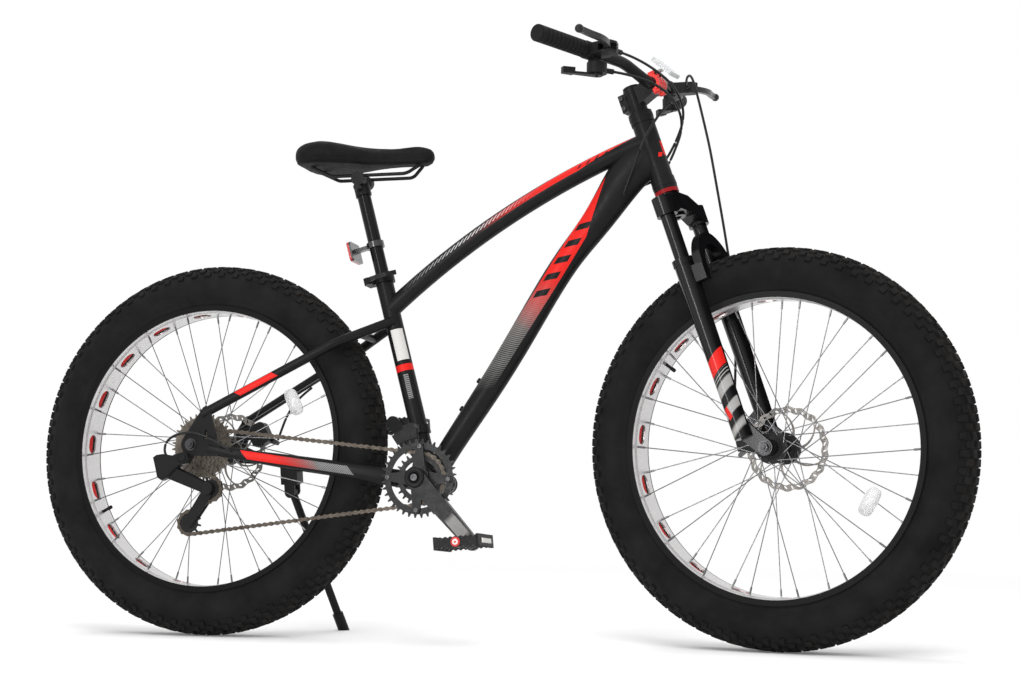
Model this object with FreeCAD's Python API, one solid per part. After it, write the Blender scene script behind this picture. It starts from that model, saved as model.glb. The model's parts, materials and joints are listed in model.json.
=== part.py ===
"""Fat tyre bicycle with a suspension fork, disc brakes and derailleur gears, standing on its kickstand.

The bicycle is drawn upright and steering straight: x forward, y to the rider's left, z up, the rear axle
above the origin. It is then steered, leaned onto its kickstand and moved onto its origin, the middle of
its footprint. Lengths are millimetres and angles are degrees.
"""
import FreeCAD, Part
import math
import os

# Tyres and rims
TYRE_RADIUS = 372.0
TYRE_WIDTH = 98.0
SHOULDER_HALF = 43.0
SHOULDER_DROP = 23.0
CASING = 5.0
TREAD = 9.0
BEAD_SEAT = 279.5
RIM_WIDTH = 80.0
RIM_WALL = 3.5
RIM_FLANGE = 7.5
RIM_WELL = 2.5
SLOT_COUNT = 18
SLOT_LENGTH = 38.0
SLOT_WIDTH = 28.0
VALVE_RADIUS = 3.2
VALVE_REACH = 26.0

# Spokes and hubs
SPOKES_PER_SIDE = 18
SPOKE_CROSSINGS = 3
SPOKE_RADIUS = 1.0
NIPPLE_RADIUS = 2.0
NIPPLE_LENGTH = 14.0
RIM_ROW = 19.0
ROW_STAGGER = 2.0
FLANGE_RADIUS = 30.0
FLANGE_THICK = 3.2
SPOKE_CIRCLE = 26.0
HUB_SHELL_RADIUS = 15.0
HUB_END_RADIUS = 11.0
AXLE_RADIUS = 5.0
FRONT_HUB_WIDTH = 135.0
REAR_HUB_WIDTH = 190.0
FRONT_FLANGES = (-38.0, 36.0)
REAR_FLANGES = (-39.0, 52.0)
AXLE_NUT_RADIUS = 9.0
AXLE_NUT_LENGTH = 9.0

# Disc brakes
ROTOR_RADIUS = 80.0
ROTOR_THICK = 2.0
ROTOR_TRACK = 14.0
ROTOR_CARRIER = 26.0
ROTOR_BORE = 17.0
ROTOR_ARMS = 6
ROTOR_ARM_WIDTH = 7.0
ROTOR_ARM_RAKE = 35.0
FRONT_ROTOR_Y = 52.0
REAR_ROTOR_Y = 80.0
CALIPER_HALF = 10.0
CALIPER_LENGTH = 46.0
CALIPER_CENTRE = 72.0
CALIPER_ANGLE_REAR = 28.0
CALIPER_ANGLE_FRONT = 148.0
CALIPER_ARM_LENGTH = 38.0
CALIPER_ARM_THICK = 3.0
CALIPER_PIN_RADIUS = 3.0
REAR_ARM_HEADING = -22.0
FRONT_ARM_HEADING = 205.0
REAR_LUG = (27.4, 21.7)
FRONT_LUG = (100.0, -14.0)
BRAKE_TAB_Y = 66.0
BRAKE_TAB_THICK = 7.0

# Frame
BOTTOM_BRACKET_DROP = 63.0
CHAINSTAY_LENGTH = 472.0
SEAT_ANGLE = 74.2
SEAT_TUBE_LENGTH = 425.0
SEAT_TUBE_RADIUS = 17.5
HEAD_ANGLE = 70.7
HEAD_FOOT_X = 921.0
HEAD_FOOT_Z = 879.0
HEAD_LENGTH = 137.0
HEAD_RADIUS = 22.0
HEAD_BORE = 17.0
TUBE_WALL = 2.0
TOP_TUBE_RADIUS = 18.0
TOP_TUBE_AT_SEAT = 352.0
TOP_TUBE_AT_HEAD = 92.0
TOP_TUBE_RISE = 29.0
DOWN_TUBE_AIM = (796.0, 836.0)
SHELL_WIDTH = 100.0
SHELL_RADIUS = 23.0
SHELL_BORE = 17.5
CARTRIDGE_FLANGE = 4.0
CARTRIDGE_LIP = 3.0
STAY_RADIUS = 9.5
BRIDGE_RADIUS = 8.0
DROPOUT_THICK = 7.0
BOTTLE_SPACING = 64.0
BOTTLE_BOSS_RADIUS = 5.5
BOTTLE_BOSS_HEIGHT = 3.0
BOTTLE_SCREW_RADIUS = 2.5
BOTTLE_SCREW_DEPTH = 10.0
DOWN_TUBE_BOSS = 150.0

# Steering and fork
FORK_OFFSET = 44.0
LEG_SPREAD = 80.0
LEG_OFFSET = 13.5
STANCHION_RADIUS = 14.0
STANCHION_LENGTH = 252.0
STEERER_RADIUS = 14.3
CROWN_TOP = -46.0
CROWN_FOOT = -83.0
CROWN_THICK = 32.0
SOCKET_RADIUS = 20.0
LOWERS_TOP = -180.0
LOWERS_FOOT = -524.0
LOWERS_RADIUS = 19.5
LOWERS_FOOT_RADIUS = 16.5
ARCH_CREST = -122.0
ARCH_DEPTH = 24.0
ARCH_FRONT = 51.0
ARCH_THICK = 16.0
FORK_TRAVEL = 70.0
FRONT_DROPOUT = 9.0
CUP_RADIUS = 24.0
CUP_HEIGHT = 7.0
RACE_HEIGHT = 15.0
STEM_FOOT = 156.0
STEM_TOP = 200.0
STEM_RADIUS = 18.0
BAR_FORWARD = 46.0
BAR_HEIGHT = 190.0

# Handlebar and controls
BAR_RADIUS = 11.1
BAR_WALL = 2.0
BAR_CLAMP_RADIUS = 12.7
BAR_CLAMP_HALF = 21.0
BAR_BEND_Y = 95.0
BAR_RISE = 32.0
BAR_SETBACK = 12.0
BAR_HALF = 335.0
BAR_END_RISE = 64.0
BAR_END_SETBACK = 66.0
GRIP_RADIUS = 16.0
GRIP_LENGTH = 125.0
GRIP_RIB = 1.2
PERCH_FROM_GRIP = 14.0
PERCH_WIDTH = 13.0
PERCH_RADIUS = 17.0
LEVER_PIVOT = (-4.0, 44.0)
LEVER_PIN_RADIUS = 2.5
ADJUSTER_END = -50.0
ADJUSTER_REACH = 40.0
LEVER_REACH = 76.0
LEVER_LENGTH = 118.0
LEVER_HEIGHT = 11.0
LEVER_BALL_RADIUS = 8.0
LEVER_DROOP = 20.0
SHIFTER_FROM_PERCH = 22.0
SHIFTER_DROP = 31.0
SHIFTER_RADIUS = 19.0
SHIFTER_HEIGHT = 20.0
SHIFTER_OUTLET = -36.0
THUMB_REACH = 56.0

# Saddle and seat post
POST_RADIUS = 13.6
POST_NECK_RADIUS = 11.0
POST_FOOT = 270.0
POST_SHOULDER = 592.0
POST_TOP = 618.0
COLLAR_HEIGHT = 18.0
COLLAR_RADIUS = 22.0
COLLAR_LEVER_Y = 19.0
COLLAR_BOLT_RADIUS = 3.0
CAM_RADIUS = 8.0
SADDLE_NOSE_X = 459.0
SADDLE_TAIL_X = 166.0
SADDLE_RISE = 20.0
RAIL_RADIUS = 3.5
RAIL_HALF = 21.0
RAIL_RISE = 14.34
TAIL_LIGHT_DROP = 130.0

# Cranks, chain and gears
PITCH = 12.7
CHAIN_LINE = 66.0
ROLLER_RADIUS = 3.8
PLATE_HALF = 4.1
PLATE_THICK = 0.9
INNER_GAP = 2.6
PLATE_PLAY = 0.08
ROOT_HALF = 3.0
ROOT_PLAY = 0.4
FLANK_HALF = 5.6
TOOTH_TIP = 2.5
RING_TEETH = 24
OUTER_RING_TEETH = 36
OUTER_RING_STEP = 7.5
OUTER_RING_BORE = 57.0
OUTER_RING_THICK = 2.5
INNER_RING_BORE = 35.0
INNER_BOLT_RADIUS = 39.0
SPIDER_ARMS = 4
COG_TEETH = (32, 28, 24, 21, 18, 16, 14, 12, 11)
CHAIN_COG = 4
COG_STEP = 4.35
SPROCKET_THICK = 1.8
FREEHUB_RADIUS = 15.5
COG_COLLAR_RADIUS = 17.2
PULLEY_TEETH = 11
PULLEY_THICK = 2.2
GUIDE_X = 30.0
GUIDE_DROP = 85.0
CAGE_LENGTH = 80.0
CAGE_HALF = 5.5
CAGE_PLATE = 1.6
CAGE_GUESS = -125.0
PULLEY_PIN_RADIUS = 3.0
CAGE_PIVOT_RADIUS = 5.0
KNUCKLE_LENGTH = 18.0
HANGER_KNUCKLE_RADIUS = 11.0
CAGE_KNUCKLE_RADIUS = 13.0
LINK_ACROSS = 6.5
LINK_THICK = 4.0
LINK_WIDTH = 12.0
FRONT_CAGE_ARC = (96.0, 126.0)
FRONT_CAGE_TOP = 100.0
BAND_HEIGHT = 102.0
CRANK_LENGTH = 170.0
CRANK_ANGLE = -46.5
CRANK_INNER_Y = 86.0
CRANK_THICK = 13.0
SPIDER_TURN = CRANK_ANGLE + 45.0
SPINDLE_RADIUS = 10.0
PEDAL_WIDTH = 92.0
PEDAL_LENGTH = 88.0
PEDAL_THICK = 24.0
PEDAL_AXLE_RADIUS = 4.5
PEDAL_BARREL_RADIUS = 11.0
PEDAL_TILT = -6.0

# Kickstand and stance
STAND_X = 140.0
STAND_Y = 84.0
STAND_Z = 292.0
STAND_TILT = 12.35
STAND_FOOT_X = 225.0
STAND_FOOT_Y = 195.0
STAND_RADIUS = 8.0
STAND_BARREL_HALF = 10.0
STAND_BARREL_RADIUS = 9.0
STAND_PIN_RADIUS = 3.0
STAND_EAR = 5.0
STAND_EAR_RADIUS = 11.0
STAND_BLOCK = 36.0
STAND_BLOCK_FOOT = 16.0
STAND_BLOCK_TOP = 62.0
STAND_SHOE = 55.0
STAND_SHOE_THICK = 3.0
STEER_AT_REST = -10.8
STAND_LEAN = 4.7
FRONT_WHEEL_TURN = 296.0
REAR_WHEEL_TURN = 232.0

# Cables
CABLE_RADIUS = 2.5

# Clearances
RUNNING = 0.05
SLIDING = 0.1
SEATED = 0.3
SPILL = 5.0

# Places worked out from the sizes above
AXLE_Z = TYRE_RADIUS
BRACKET_Z = AXLE_Z - BOTTOM_BRACKET_DROP
BRACKET_X = math.sqrt(CHAINSTAY_LENGTH ** 2 - BOTTOM_BRACKET_DROP ** 2)
HEAD_TILT = 90.0 - HEAD_ANGLE
SEAT_TILT = 90.0 - SEAT_ANGLE
HEAD_COS = math.cos(math.radians(HEAD_TILT))
HEAD_SIN = math.sin(math.radians(HEAD_TILT))
AXLE_DOWN = (AXLE_Z - HEAD_FOOT_Z - FORK_OFFSET * HEAD_SIN) / HEAD_COS


def vec(x, y, z):
    return FreeCAD.Vector(x, y, z)


Y_AXIS = vec(0, 1, 0)
HEAD_FRAME = FreeCAD.Placement(vec(HEAD_FOOT_X, 0, HEAD_FOOT_Z), FreeCAD.Rotation(Y_AXIS, -HEAD_TILT))
SEAT_FRAME = FreeCAD.Placement(vec(BRACKET_X, 0, BRACKET_Z), FreeCAD.Rotation(Y_AXIS, -SEAT_TILT))
STEERED = HEAD_FRAME.multiply(FreeCAD.Placement(vec(0, 0, 0), FreeCAD.Rotation(vec(0, 0, 1), STEER_AT_REST)))
RAIL_HEIGHT = SEAT_FRAME.multVec(vec(0, 0, POST_TOP)).z + RAIL_RISE
SADDLE_UNDERSIDE = RAIL_HEIGHT + SADDLE_RISE
STAND_FRAME = FreeCAD.Placement(vec(STAND_X, STAND_Y, STAND_Z), FreeCAD.Rotation(vec(1, 0, 0), STAND_TILT))
REAR_AXLE = FreeCAD.Placement(vec(0, 0, AXLE_Z), FreeCAD.Rotation())
FRONT_AXLE = FreeCAD.Placement(vec(FORK_OFFSET, 0, AXLE_DOWN), FreeCAD.Rotation())
FRONT_WHEEL = FreeCAD.Placement(FRONT_AXLE.Base, FreeCAD.Rotation(Y_AXIS, HEAD_TILT + FRONT_WHEEL_TURN))
REAR_WHEEL = FreeCAD.Placement(REAR_AXLE.Base, FreeCAD.Rotation(Y_AXIS, REAR_WHEEL_TURN))
BRACKET = FreeCAD.Placement(vec(BRACKET_X, 0, BRACKET_Z), FreeCAD.Rotation())


# Shared drawing helpers

def moved(shape, placement):
    """The shape carried by a placement."""
    copy = shape.copy()
    copy.Placement = placement.multiply(copy.Placement)
    return copy


def mirrored(shape):
    """The shape's twin on the other side of the bicycle."""
    return shape.mirror(vec(0, 0, 0), Y_AXIS)


def group(shapes):
    """Separate solids that belong to one piece's file."""
    solids = []
    for shape in shapes:
        solids += shape.Solids
    return Part.makeCompound(solids)


def fused(shapes):
    return shapes[0].multiFuse(shapes[1:]).removeSplitter()


def main_solid(shape):
    """The largest solid that a cut leaves."""
    return max(shape.Solids, key=lambda solid: solid.Volume)


def rod(start, end, radius):
    """Round bar between two points."""
    along = end - start
    return Part.makeCylinder(radius, along.Length, start, along)


def sleeve(start, end, radius, bore):
    """Round bar between two points with a hole right through it."""
    spill = (end - start).normalize() * SPILL
    return rod(start, end, radius).cut(rod(start - spill, end + spill, bore))


def prism(points, along):
    """Solid over a flat polygon."""
    return Part.Face(Part.makePolygon(points + points[:1])).extrude(along)


def turned(outline):
    """Solid turned about the y axis from (y, r) points; a pair of points is an arc through the first."""
    edges = []
    first = here = vec(0, *outline[0])
    for step in outline[1:]:
        if isinstance(step[0], tuple):
            there = vec(0, *step[1])
            edges.append(Part.Arc(here, vec(0, *step[0]), there).toShape())
        else:
            there = vec(0, *step)
            edges.append(Part.LineSegment(here, there).toShape())
        here = there
    edges.append(Part.LineSegment(here, first).toShape())
    return Part.Face(Part.Wire(edges)).revolve(vec(0, 0, 0), Y_AXIS, 360)


def easy_bends(points):
    """Bend radii as large as the runs on both sides allow."""
    bends = []
    for before, corner, after in zip(points, points[1:], points[2:]):
        turn = math.pi - (before - corner).getAngle(after - corner)
        shorter = min((before - corner).Length, (after - corner).Length)
        bends.append(0.45 * shorter / math.tan(turn / 2))
    return bends


def bent_wire(points, bends):
    """Straight runs through the points, joined by tangent arcs."""
    edges = []
    here = points[0]
    for before, corner, after, bend in zip(points, points[1:], points[2:], bends):
        back = (before - corner).normalize()
        onward = (after - corner).normalize()
        turn = math.pi - back.getAngle(onward)
        reach = bend * math.tan(turn / 2)
        middle = (back + onward).normalize() * (bend / math.cos(turn / 2) - bend)
        start = corner + back * reach
        end = corner + onward * reach
        edges.append(Part.LineSegment(here, start).toShape())
        edges.append(Part.Arc(start, corner + middle, end).toShape())
        here = end
    edges.append(Part.LineSegment(here, points[-1]).toShape())
    return Part.Wire(edges)


def bent_rod(points, radius, bends=None):
    """Round bar along straight runs joined by arcs."""
    wire = bent_wire(points, bends or easy_bends(points))
    section = Part.Wire(Part.makeCircle(radius, points[0], points[1] - points[0]))
    return wire.makePipeShell([section], True, False)


def oval_loft(stations, trim=0.0):
    """Smooth bar through oval sections (x, y, z, depth, width), each thinner by trim all round."""
    centres = [vec(*station[:3]) for station in stations]
    wires = []
    for i, station in enumerate(stations):
        along = (centres[min(i + 1, len(centres) - 1)] - centres[max(i - 1, 0)]).normalize()
        side = (Y_AXIS - along * along.dot(Y_AXIS)).normalize()
        rise = along.cross(side)
        depth, width = station[3] / 2 - trim, station[4] / 2 - trim
        oval = Part.Ellipse(centres[i] + rise * depth, centres[i] + side * width, centres[i])
        wires.append(Part.Wire(oval.toShape()))
    return Part.makeLoft(wires, True, False)


def oval_tube(stations, wall):
    return oval_loft(stations).cut(oval_loft(stations, wall))


def web(first, second, y_from, y_to):
    """Flat plate round two circles (x, z, radius), from one y to another."""
    (ax, az, ar), (bx, bz, br) = first, second
    gap = math.hypot(bx - ax, bz - az)
    heading = math.atan2(bz - az, bx - ax)
    lean = math.acos((ar - br) / gap)
    corners = []
    for x, z, r, turns in ((ax, az, ar, (1, -1)), (bx, bz, br, (-1, 1))):
        for turn in turns:
            angle = heading + turn * lean
            corners.append(vec(x + r * math.cos(angle), y_from, z + r * math.sin(angle)))
    along = vec(0, y_to - y_from, 0)
    discs = [Part.makeCylinder(r, abs(y_to - y_from), vec(x, min(y_from, y_to), z), Y_AXIS)
             for x, z, r in (first, second)]
    return discs[0].multiFuse([discs[1], prism(corners, along)])


def ring_points(count, radius, start=0.0):
    """Evenly spaced (x, z) points round a circle."""
    angles = [math.radians(start) + 2 * math.pi * i / count for i in range(count)]
    return [(radius * math.cos(a), radius * math.sin(a)) for a in angles]


# Wheels

def tyre():
    """Casing with a round tread, beads hooked inside the rim, and the valve of the tube inside it."""
    half = TYRE_WIDTH / 2
    bead = BEAD_SEAT + SEATED
    bead_out = RIM_WIDTH / 2 - RIM_WALL - SEATED
    lip = bead + RIM_FLANGE + 1.5
    side = (bead + TYRE_RADIUS - SHOULDER_DROP) / 2 + 6
    shoulder = TYRE_RADIUS - SHOULDER_DROP
    inner_half = half - CASING
    inner_top = TYRE_RADIUS - TREAD
    inner_shoulder = shoulder - TREAD / 2
    bead_in = bead_out - CASING
    casing = turned([
        (bead_out, bead), (bead_out, lip), ((half, side), (SHOULDER_HALF, shoulder)),
        ((0, TYRE_RADIUS), (-SHOULDER_HALF, shoulder)), ((-half, side), (-bead_out, lip)),
        (-bead_out, bead), (-bead_in, bead), (-bead_in, lip), (-inner_half, side),
        (-SHOULDER_HALF + CASING, inner_shoulder),
        ((0, inner_top), (SHOULDER_HALF - CASING, inner_shoulder)),
        (inner_half, side), (bead_in, lip), (bead_in, bead),
    ])
    seat = BEAD_SEAT - RIM_WELL + SEATED
    valve = rod(vec(0, 0, seat + 2.5), vec(0, 0, seat - VALVE_REACH), VALVE_RADIUS)
    pad = rod(vec(0, 0, seat), vec(0, 0, seat + 2.5), 3 * VALVE_RADIUS)
    turn = FreeCAD.Placement(vec(0, 0, 0), FreeCAD.Rotation(Y_AXIS, valve_angle()))
    return group([casing, moved(fused([valve, pad]), turn)])


def valve_angle():
    """The valve stands midway between two slots, clear of the spokes beside it."""
    return 180.0 / SLOT_COUNT


def rim():
    """Single wall rim: two hooked flanges, a drop centre and oval windows between the spokes."""
    half = RIM_WIDTH / 2
    well = BEAD_SEAT - RIM_WELL
    top = BEAD_SEAT + RIM_FLANGE
    ledge = SLOT_WIDTH / 2 + 8
    body = turned([
        (half, top), (half - RIM_WALL, top), (half - RIM_WALL, BEAD_SEAT), (ledge + 4, BEAD_SEAT),
        (ledge, well), (-ledge, well), (-ledge - 4, BEAD_SEAT), (RIM_WALL - half, BEAD_SEAT),
        (RIM_WALL - half, top), (-half, top), (-half, BEAD_SEAT - RIM_WALL),
        (-ledge - 4, BEAD_SEAT - RIM_WALL), (-ledge, rim_floor()), (ledge, rim_floor()),
        (ledge + 4, BEAD_SEAT - RIM_WALL), (half, BEAD_SEAT - RIM_WALL),
    ])
    run = (SLOT_LENGTH - SLOT_WIDTH) / 2
    end = SLOT_WIDTH / 2
    window = Part.Wire([
        Part.LineSegment(vec(-run, end, 0), vec(run, end, 0)).toShape(),
        Part.Arc(vec(run, end, 0), vec(run + end, 0, 0), vec(run, -end, 0)).toShape(),
        Part.LineSegment(vec(run, -end, 0), vec(-run, -end, 0)).toShape(),
        Part.Arc(vec(-run, -end, 0), vec(-run - end, 0, 0), vec(-run, end, 0)).toShape(),
    ])
    cutter = Part.Face(window).extrude(vec(0, 0, BEAD_SEAT))
    cuts = []
    for i in range(SLOT_COUNT):
        turn = FreeCAD.Rotation(Y_AXIS, 360.0 * i / SLOT_COUNT)
        cuts.append(moved(cutter, FreeCAD.Placement(vec(0, 0, 0), turn)))
    hole = rod(vec(0, 0, 0), vec(0, 0, BEAD_SEAT), VALVE_RADIUS + SEATED)
    turn = FreeCAD.Placement(vec(0, 0, 0), FreeCAD.Rotation(Y_AXIS, valve_angle()))
    return body.cut(Part.makeCompound(cuts + [moved(hole, turn)]))


def rim_floor():
    """Radius of the rim's inner face, where the nipples end."""
    return BEAD_SEAT - RIM_WELL - RIM_WALL


def spoke(hub_end, rim_end):
    """One spoke with its nipple: six sided, because there are so many."""
    along = (rim_end - hub_end).normalize()
    across = along.cross(Y_AXIS).normalize()
    up = along.cross(across)
    bars = []
    joint = rim_end - along * NIPPLE_LENGTH
    for start, end, radius in ((hub_end, joint, SPOKE_RADIUS), (joint, rim_end, NIPPLE_RADIUS)):
        corners = [start + (across * math.cos(a) + up * math.sin(a)) * radius
                   for a in (math.pi / 3 * k for k in range(6))]
        bars.append(prism(corners, end - start))
    return bars[0].fuse(bars[1])


def laced_spokes(flanges):
    """Both sides, three cross: neighbours leave the flange's two faces and cross on their way to the rim."""
    step = 360.0 / SPOKES_PER_SIDE
    beside = FLANGE_THICK / 2 + SPOKE_RADIUS + SEATED
    rim_r = rim_floor() - 2 * SEATED
    cross = math.radians(SPOKE_CROSSINGS * step)
    reach = math.sqrt(rim_r ** 2 + SPOKE_CIRCLE ** 2 - 2 * rim_r * SPOKE_CIRCLE * math.cos(cross))
    climb = (FLANGE_RADIUS - SPOKE_CIRCLE) / (rim_r * math.cos(cross) - SPOKE_CIRCLE)
    spokes = []
    for side, flange in zip((-1, 1), flanges):
        for k in range(SPOKES_PER_SIDE):
            lead = 1 if k % 2 == 0 else -1
            rim_angle = math.radians(step * (k + side / 4))
            hub_angle = rim_angle + math.radians(lead * SPOKE_CROSSINGS * step)
            rim_y = side * (RIM_ROW + lead * ROW_STAGGER)
            lean = climb * abs(rim_y - flange) if lead > 0 else 0.0
            hub_y = flange + side * lead * (beside + lean)
            spokes.append(spoke(
                vec(SPOKE_CIRCLE * math.sin(hub_angle), hub_y, SPOKE_CIRCLE * math.cos(hub_angle)),
                vec(rim_r * math.sin(rim_angle), rim_y, rim_r * math.cos(rim_angle))))
    return group(spokes)


def hub(flanges, right_end, left_end, rotor_y):
    """Hub shell with two spoke flanges and a seat for the brake rotor, bored for its axle."""
    bore = AXLE_RADIUS + RUNNING
    low, high = flanges
    half = FLANGE_THICK / 2
    root = SPOKE_CIRCLE - 4 * SPOKE_RADIUS
    seat = rotor_y - ROTOR_THICK / 2
    return turned([
        (right_end, bore), (right_end, HUB_END_RADIUS), (low - half - 2, HUB_SHELL_RADIUS),
        (low - half, root), (low - half, FLANGE_RADIUS), (low + half, FLANGE_RADIUS), (low + half, root),
        (low + half + 6, HUB_SHELL_RADIUS), (high - half - 6, HUB_SHELL_RADIUS), (high - half, root),
        (high - half, FLANGE_RADIUS), (high + half, FLANGE_RADIUS), (high + half, root),
        (high + half + 2, HUB_SHELL_RADIUS), (seat - 4, HUB_SHELL_RADIUS + 2), (seat - 4, ROTOR_CARRIER - 2),
        (seat, ROTOR_CARRIER - 2), (seat, HUB_SHELL_RADIUS), (seat + 5, HUB_SHELL_RADIUS),
        (seat + 6, HUB_END_RADIUS), (left_end, HUB_END_RADIUS), (left_end, bore),
    ])


def rotor(rotor_y):
    """Brake rotor: a track ring and a carrier joined by raked arms."""
    low = rotor_y - ROTOR_THICK / 2
    high = rotor_y + ROTOR_THICK / 2
    track = sleeve(vec(0, low, 0), vec(0, high, 0), ROTOR_RADIUS, ROTOR_RADIUS - ROTOR_TRACK)
    carrier = sleeve(vec(0, low, 0), vec(0, high, 0), ROTOR_CARRIER, ROTOR_BORE)
    arms = []
    inner = ring_points(ROTOR_ARMS, (ROTOR_CARRIER + ROTOR_BORE) / 2)
    outer = ring_points(ROTOR_ARMS, ROTOR_RADIUS - ROTOR_TRACK / 2, ROTOR_ARM_RAKE)
    for start, end in zip(inner, outer):
        arms.append(web((*start, ROTOR_ARM_WIDTH / 2), (*end, ROTOR_ARM_WIDTH / 2 - 0.5), low, high))
    return fused([track, carrier] + arms)


def axle(width, plate):
    """Axle through both dropouts, with a flanged nut outside each."""
    reach = width / 2 + plate + AXLE_NUT_LENGTH
    bar = rod(vec(0, -reach - 3, 0), vec(0, reach + 3, 0), AXLE_RADIUS)
    nuts = []
    for side in (-1, 1):
        face = side * (width / 2 + plate)
        nuts.append(rod(vec(0, face, 0), vec(0, side * reach, 0), AXLE_NUT_RADIUS))
        nuts.append(rod(vec(0, face, 0), vec(0, face + side * 2.0, 0), AXLE_NUT_RADIUS + 3))
    return fused([bar] + nuts)


# Frame

def shell_solid():
    return rod(vec(BRACKET_X, -SHELL_WIDTH / 2, BRACKET_Z), vec(BRACKET_X, SHELL_WIDTH / 2, BRACKET_Z),
               SHELL_RADIUS)


def seat_tube_solid():
    return moved(rod(vec(0, 0, 0), vec(0, 0, SEAT_TUBE_LENGTH), SEAT_TUBE_RADIUS), SEAT_FRAME)


def head_tube_solid():
    return moved(rod(vec(0, 0, 0), vec(0, 0, HEAD_LENGTH), HEAD_RADIUS), HEAD_FRAME)


def seat_tube():
    """Seat tube, slit at the top for its collar, and the bottom bracket shell that it stands on."""
    bore = moved(rod(vec(0, 0, 0), vec(0, 0, SEAT_TUBE_LENGTH + SPILL), POST_RADIUS + SLIDING), SEAT_FRAME)
    slit = Part.makeBox(2 * SEAT_TUBE_RADIUS, 2.5, 2 * COLLAR_HEIGHT,
                        vec(-2 * SEAT_TUBE_RADIUS, -1.25, SEAT_TUBE_LENGTH - 1.5 * COLLAR_HEIGHT))
    tube = seat_tube_solid().cut(shell_solid()).cut(bore).cut(moved(slit, SEAT_FRAME))
    half = vec(0, SHELL_WIDTH / 2 + SPILL, 0)
    centre = vec(BRACKET_X, 0, BRACKET_Z)
    shell = shell_solid().cut(rod(centre - half, centre + half, SHELL_BORE))
    return group([main_solid(tube), shell])


def head_tube():
    """Head tube with a thicker collar at each end where the bearing cups press in."""
    collars = [rod(vec(0, 0, z), vec(0, 0, z + 10), HEAD_RADIUS + 1.5) for z in (0, HEAD_LENGTH - 10)]
    body = fused([rod(vec(0, 0, 0), vec(0, 0, HEAD_LENGTH), HEAD_RADIUS)] + collars)
    bore = rod(vec(0, 0, -SPILL), vec(0, 0, HEAD_LENGTH + SPILL), HEAD_BORE)
    return moved(body.cut(bore), HEAD_FRAME)


def top_tube_wire():
    """The top tube sags in a shallow arc from the head to low on the seat tube."""
    low = SEAT_FRAME.multVec(vec(0, 0, TOP_TUBE_AT_SEAT))
    high = HEAD_FRAME.multVec(vec(0, 0, TOP_TUBE_AT_HEAD))
    across = (high - low).normalize().cross(Y_AXIS)
    upward = across if across.z > 0 else across * -1
    middle = (low + high) * 0.5 + upward * TOP_TUBE_RISE
    return low, Part.Wire(Part.Arc(low, middle, high).toShape())


def top_tube_solid(radius):
    low, wire = top_tube_wire()
    start = wire.Edges[0].tangentAt(wire.Edges[0].FirstParameter)
    return wire.makePipeShell([Part.Wire(Part.makeCircle(radius, low, start))], True, False)


def top_tube():
    body = top_tube_solid(TOP_TUBE_RADIUS).cut(top_tube_solid(TOP_TUBE_RADIUS - TUBE_WALL))
    return main_solid(body.cut(seat_tube_solid()).cut(head_tube_solid()))


def down_tube_stations():
    """The down tube deepens as it climbs and flares along the head tube."""
    foot = vec(BRACKET_X, 0, BRACKET_Z)
    head = HEAD_FRAME.multVec(vec(0, 0, 0.42 * HEAD_LENGTH))
    along = (vec(DOWN_TUBE_AIM[0], 0, DOWN_TUBE_AIM[1]) - foot).normalize()
    places = [(0, 43, 42), (160, 47, 43), (345, 51, 44), (520, 53, 44)]
    stations = []
    for reach, depth, width in places:
        centre = foot + along * reach
        stations.append((centre.x, 0, centre.z, depth, width))
    knee = foot + along * 610
    stations.append((knee.x + 6, 0, knee.z - 6, 62, 43))
    stations.append((head.x - 30, 0, head.z - 12, 84, 42))
    stations.append((head.x, 0, head.z, 96, 40))
    return stations


def boss_places():
    """Foot points and direction of the two bottle screws on the down tube's upper side."""
    foot = vec(BRACKET_X, 0, BRACKET_Z)
    along = (vec(DOWN_TUBE_AIM[0], 0, DOWN_TUBE_AIM[1]) - foot).normalize()
    upward = along.cross(Y_AXIS)
    upward = upward if upward.x < 0 else upward * -1
    top = 24.5
    return [foot + along * (DOWN_TUBE_BOSS + step) + upward * top for step in (0, BOTTLE_SPACING)], upward


def down_tube():
    """Down tube, coped to its neighbours, with two open screw bosses for a bottle cage."""
    stations = down_tube_stations()
    outer = oval_loft(stations)
    bosses, upward = boss_places()
    caps = []
    holes = []
    for place in bosses:
        tip = place + upward * BOTTLE_BOSS_HEIGHT
        caps.append(rod(place - upward * BOTTLE_SCREW_DEPTH, tip, BOTTLE_BOSS_RADIUS))
        holes.append(rod(tip - upward * BOTTLE_SCREW_DEPTH, tip + upward, BOTTLE_SCREW_RADIUS))
    shell = outer.cut(oval_loft(stations, TUBE_WALL))
    coped = shell.cut(shell_solid()).cut(head_tube_solid()).cut(top_tube_solid(TOP_TUBE_RADIUS))
    body = main_solid(coped.cut(seat_tube_solid()))
    return main_solid(body.multiFuse(caps).cut(Part.makeCompound(holes)))


def dropout(side):
    """Rear dropout plate; the right one is braced and carries the gear hanger."""
    inner = side * REAR_HUB_WIDTH / 2
    outer = inner + side * DROPOUT_THICK
    plates = [web((0, AXLE_Z, 21), (52, AXLE_Z - 11, 12), inner, outer),
              web((0, AXLE_Z, 21), (30, AXLE_Z + 65, 11), inner, outer)]
    if side < 0:
        plates.append(web((52, AXLE_Z - 11, 9), (30, AXLE_Z + 65, 7), inner, outer))
        plates.append(web((0, AXLE_Z, 16), (*hanger_place(), 9), inner, outer))
    hole = rod(vec(0, inner - side * SPILL, AXLE_Z), vec(0, outer + side * SPILL, AXLE_Z),
               AXLE_RADIUS + SLIDING)
    return fused(plates).cut(hole)


def hanger_place():
    """Where the rear derailleur bolts on, as (x, z)."""
    return -8.0, AXLE_Z - 28


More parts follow.
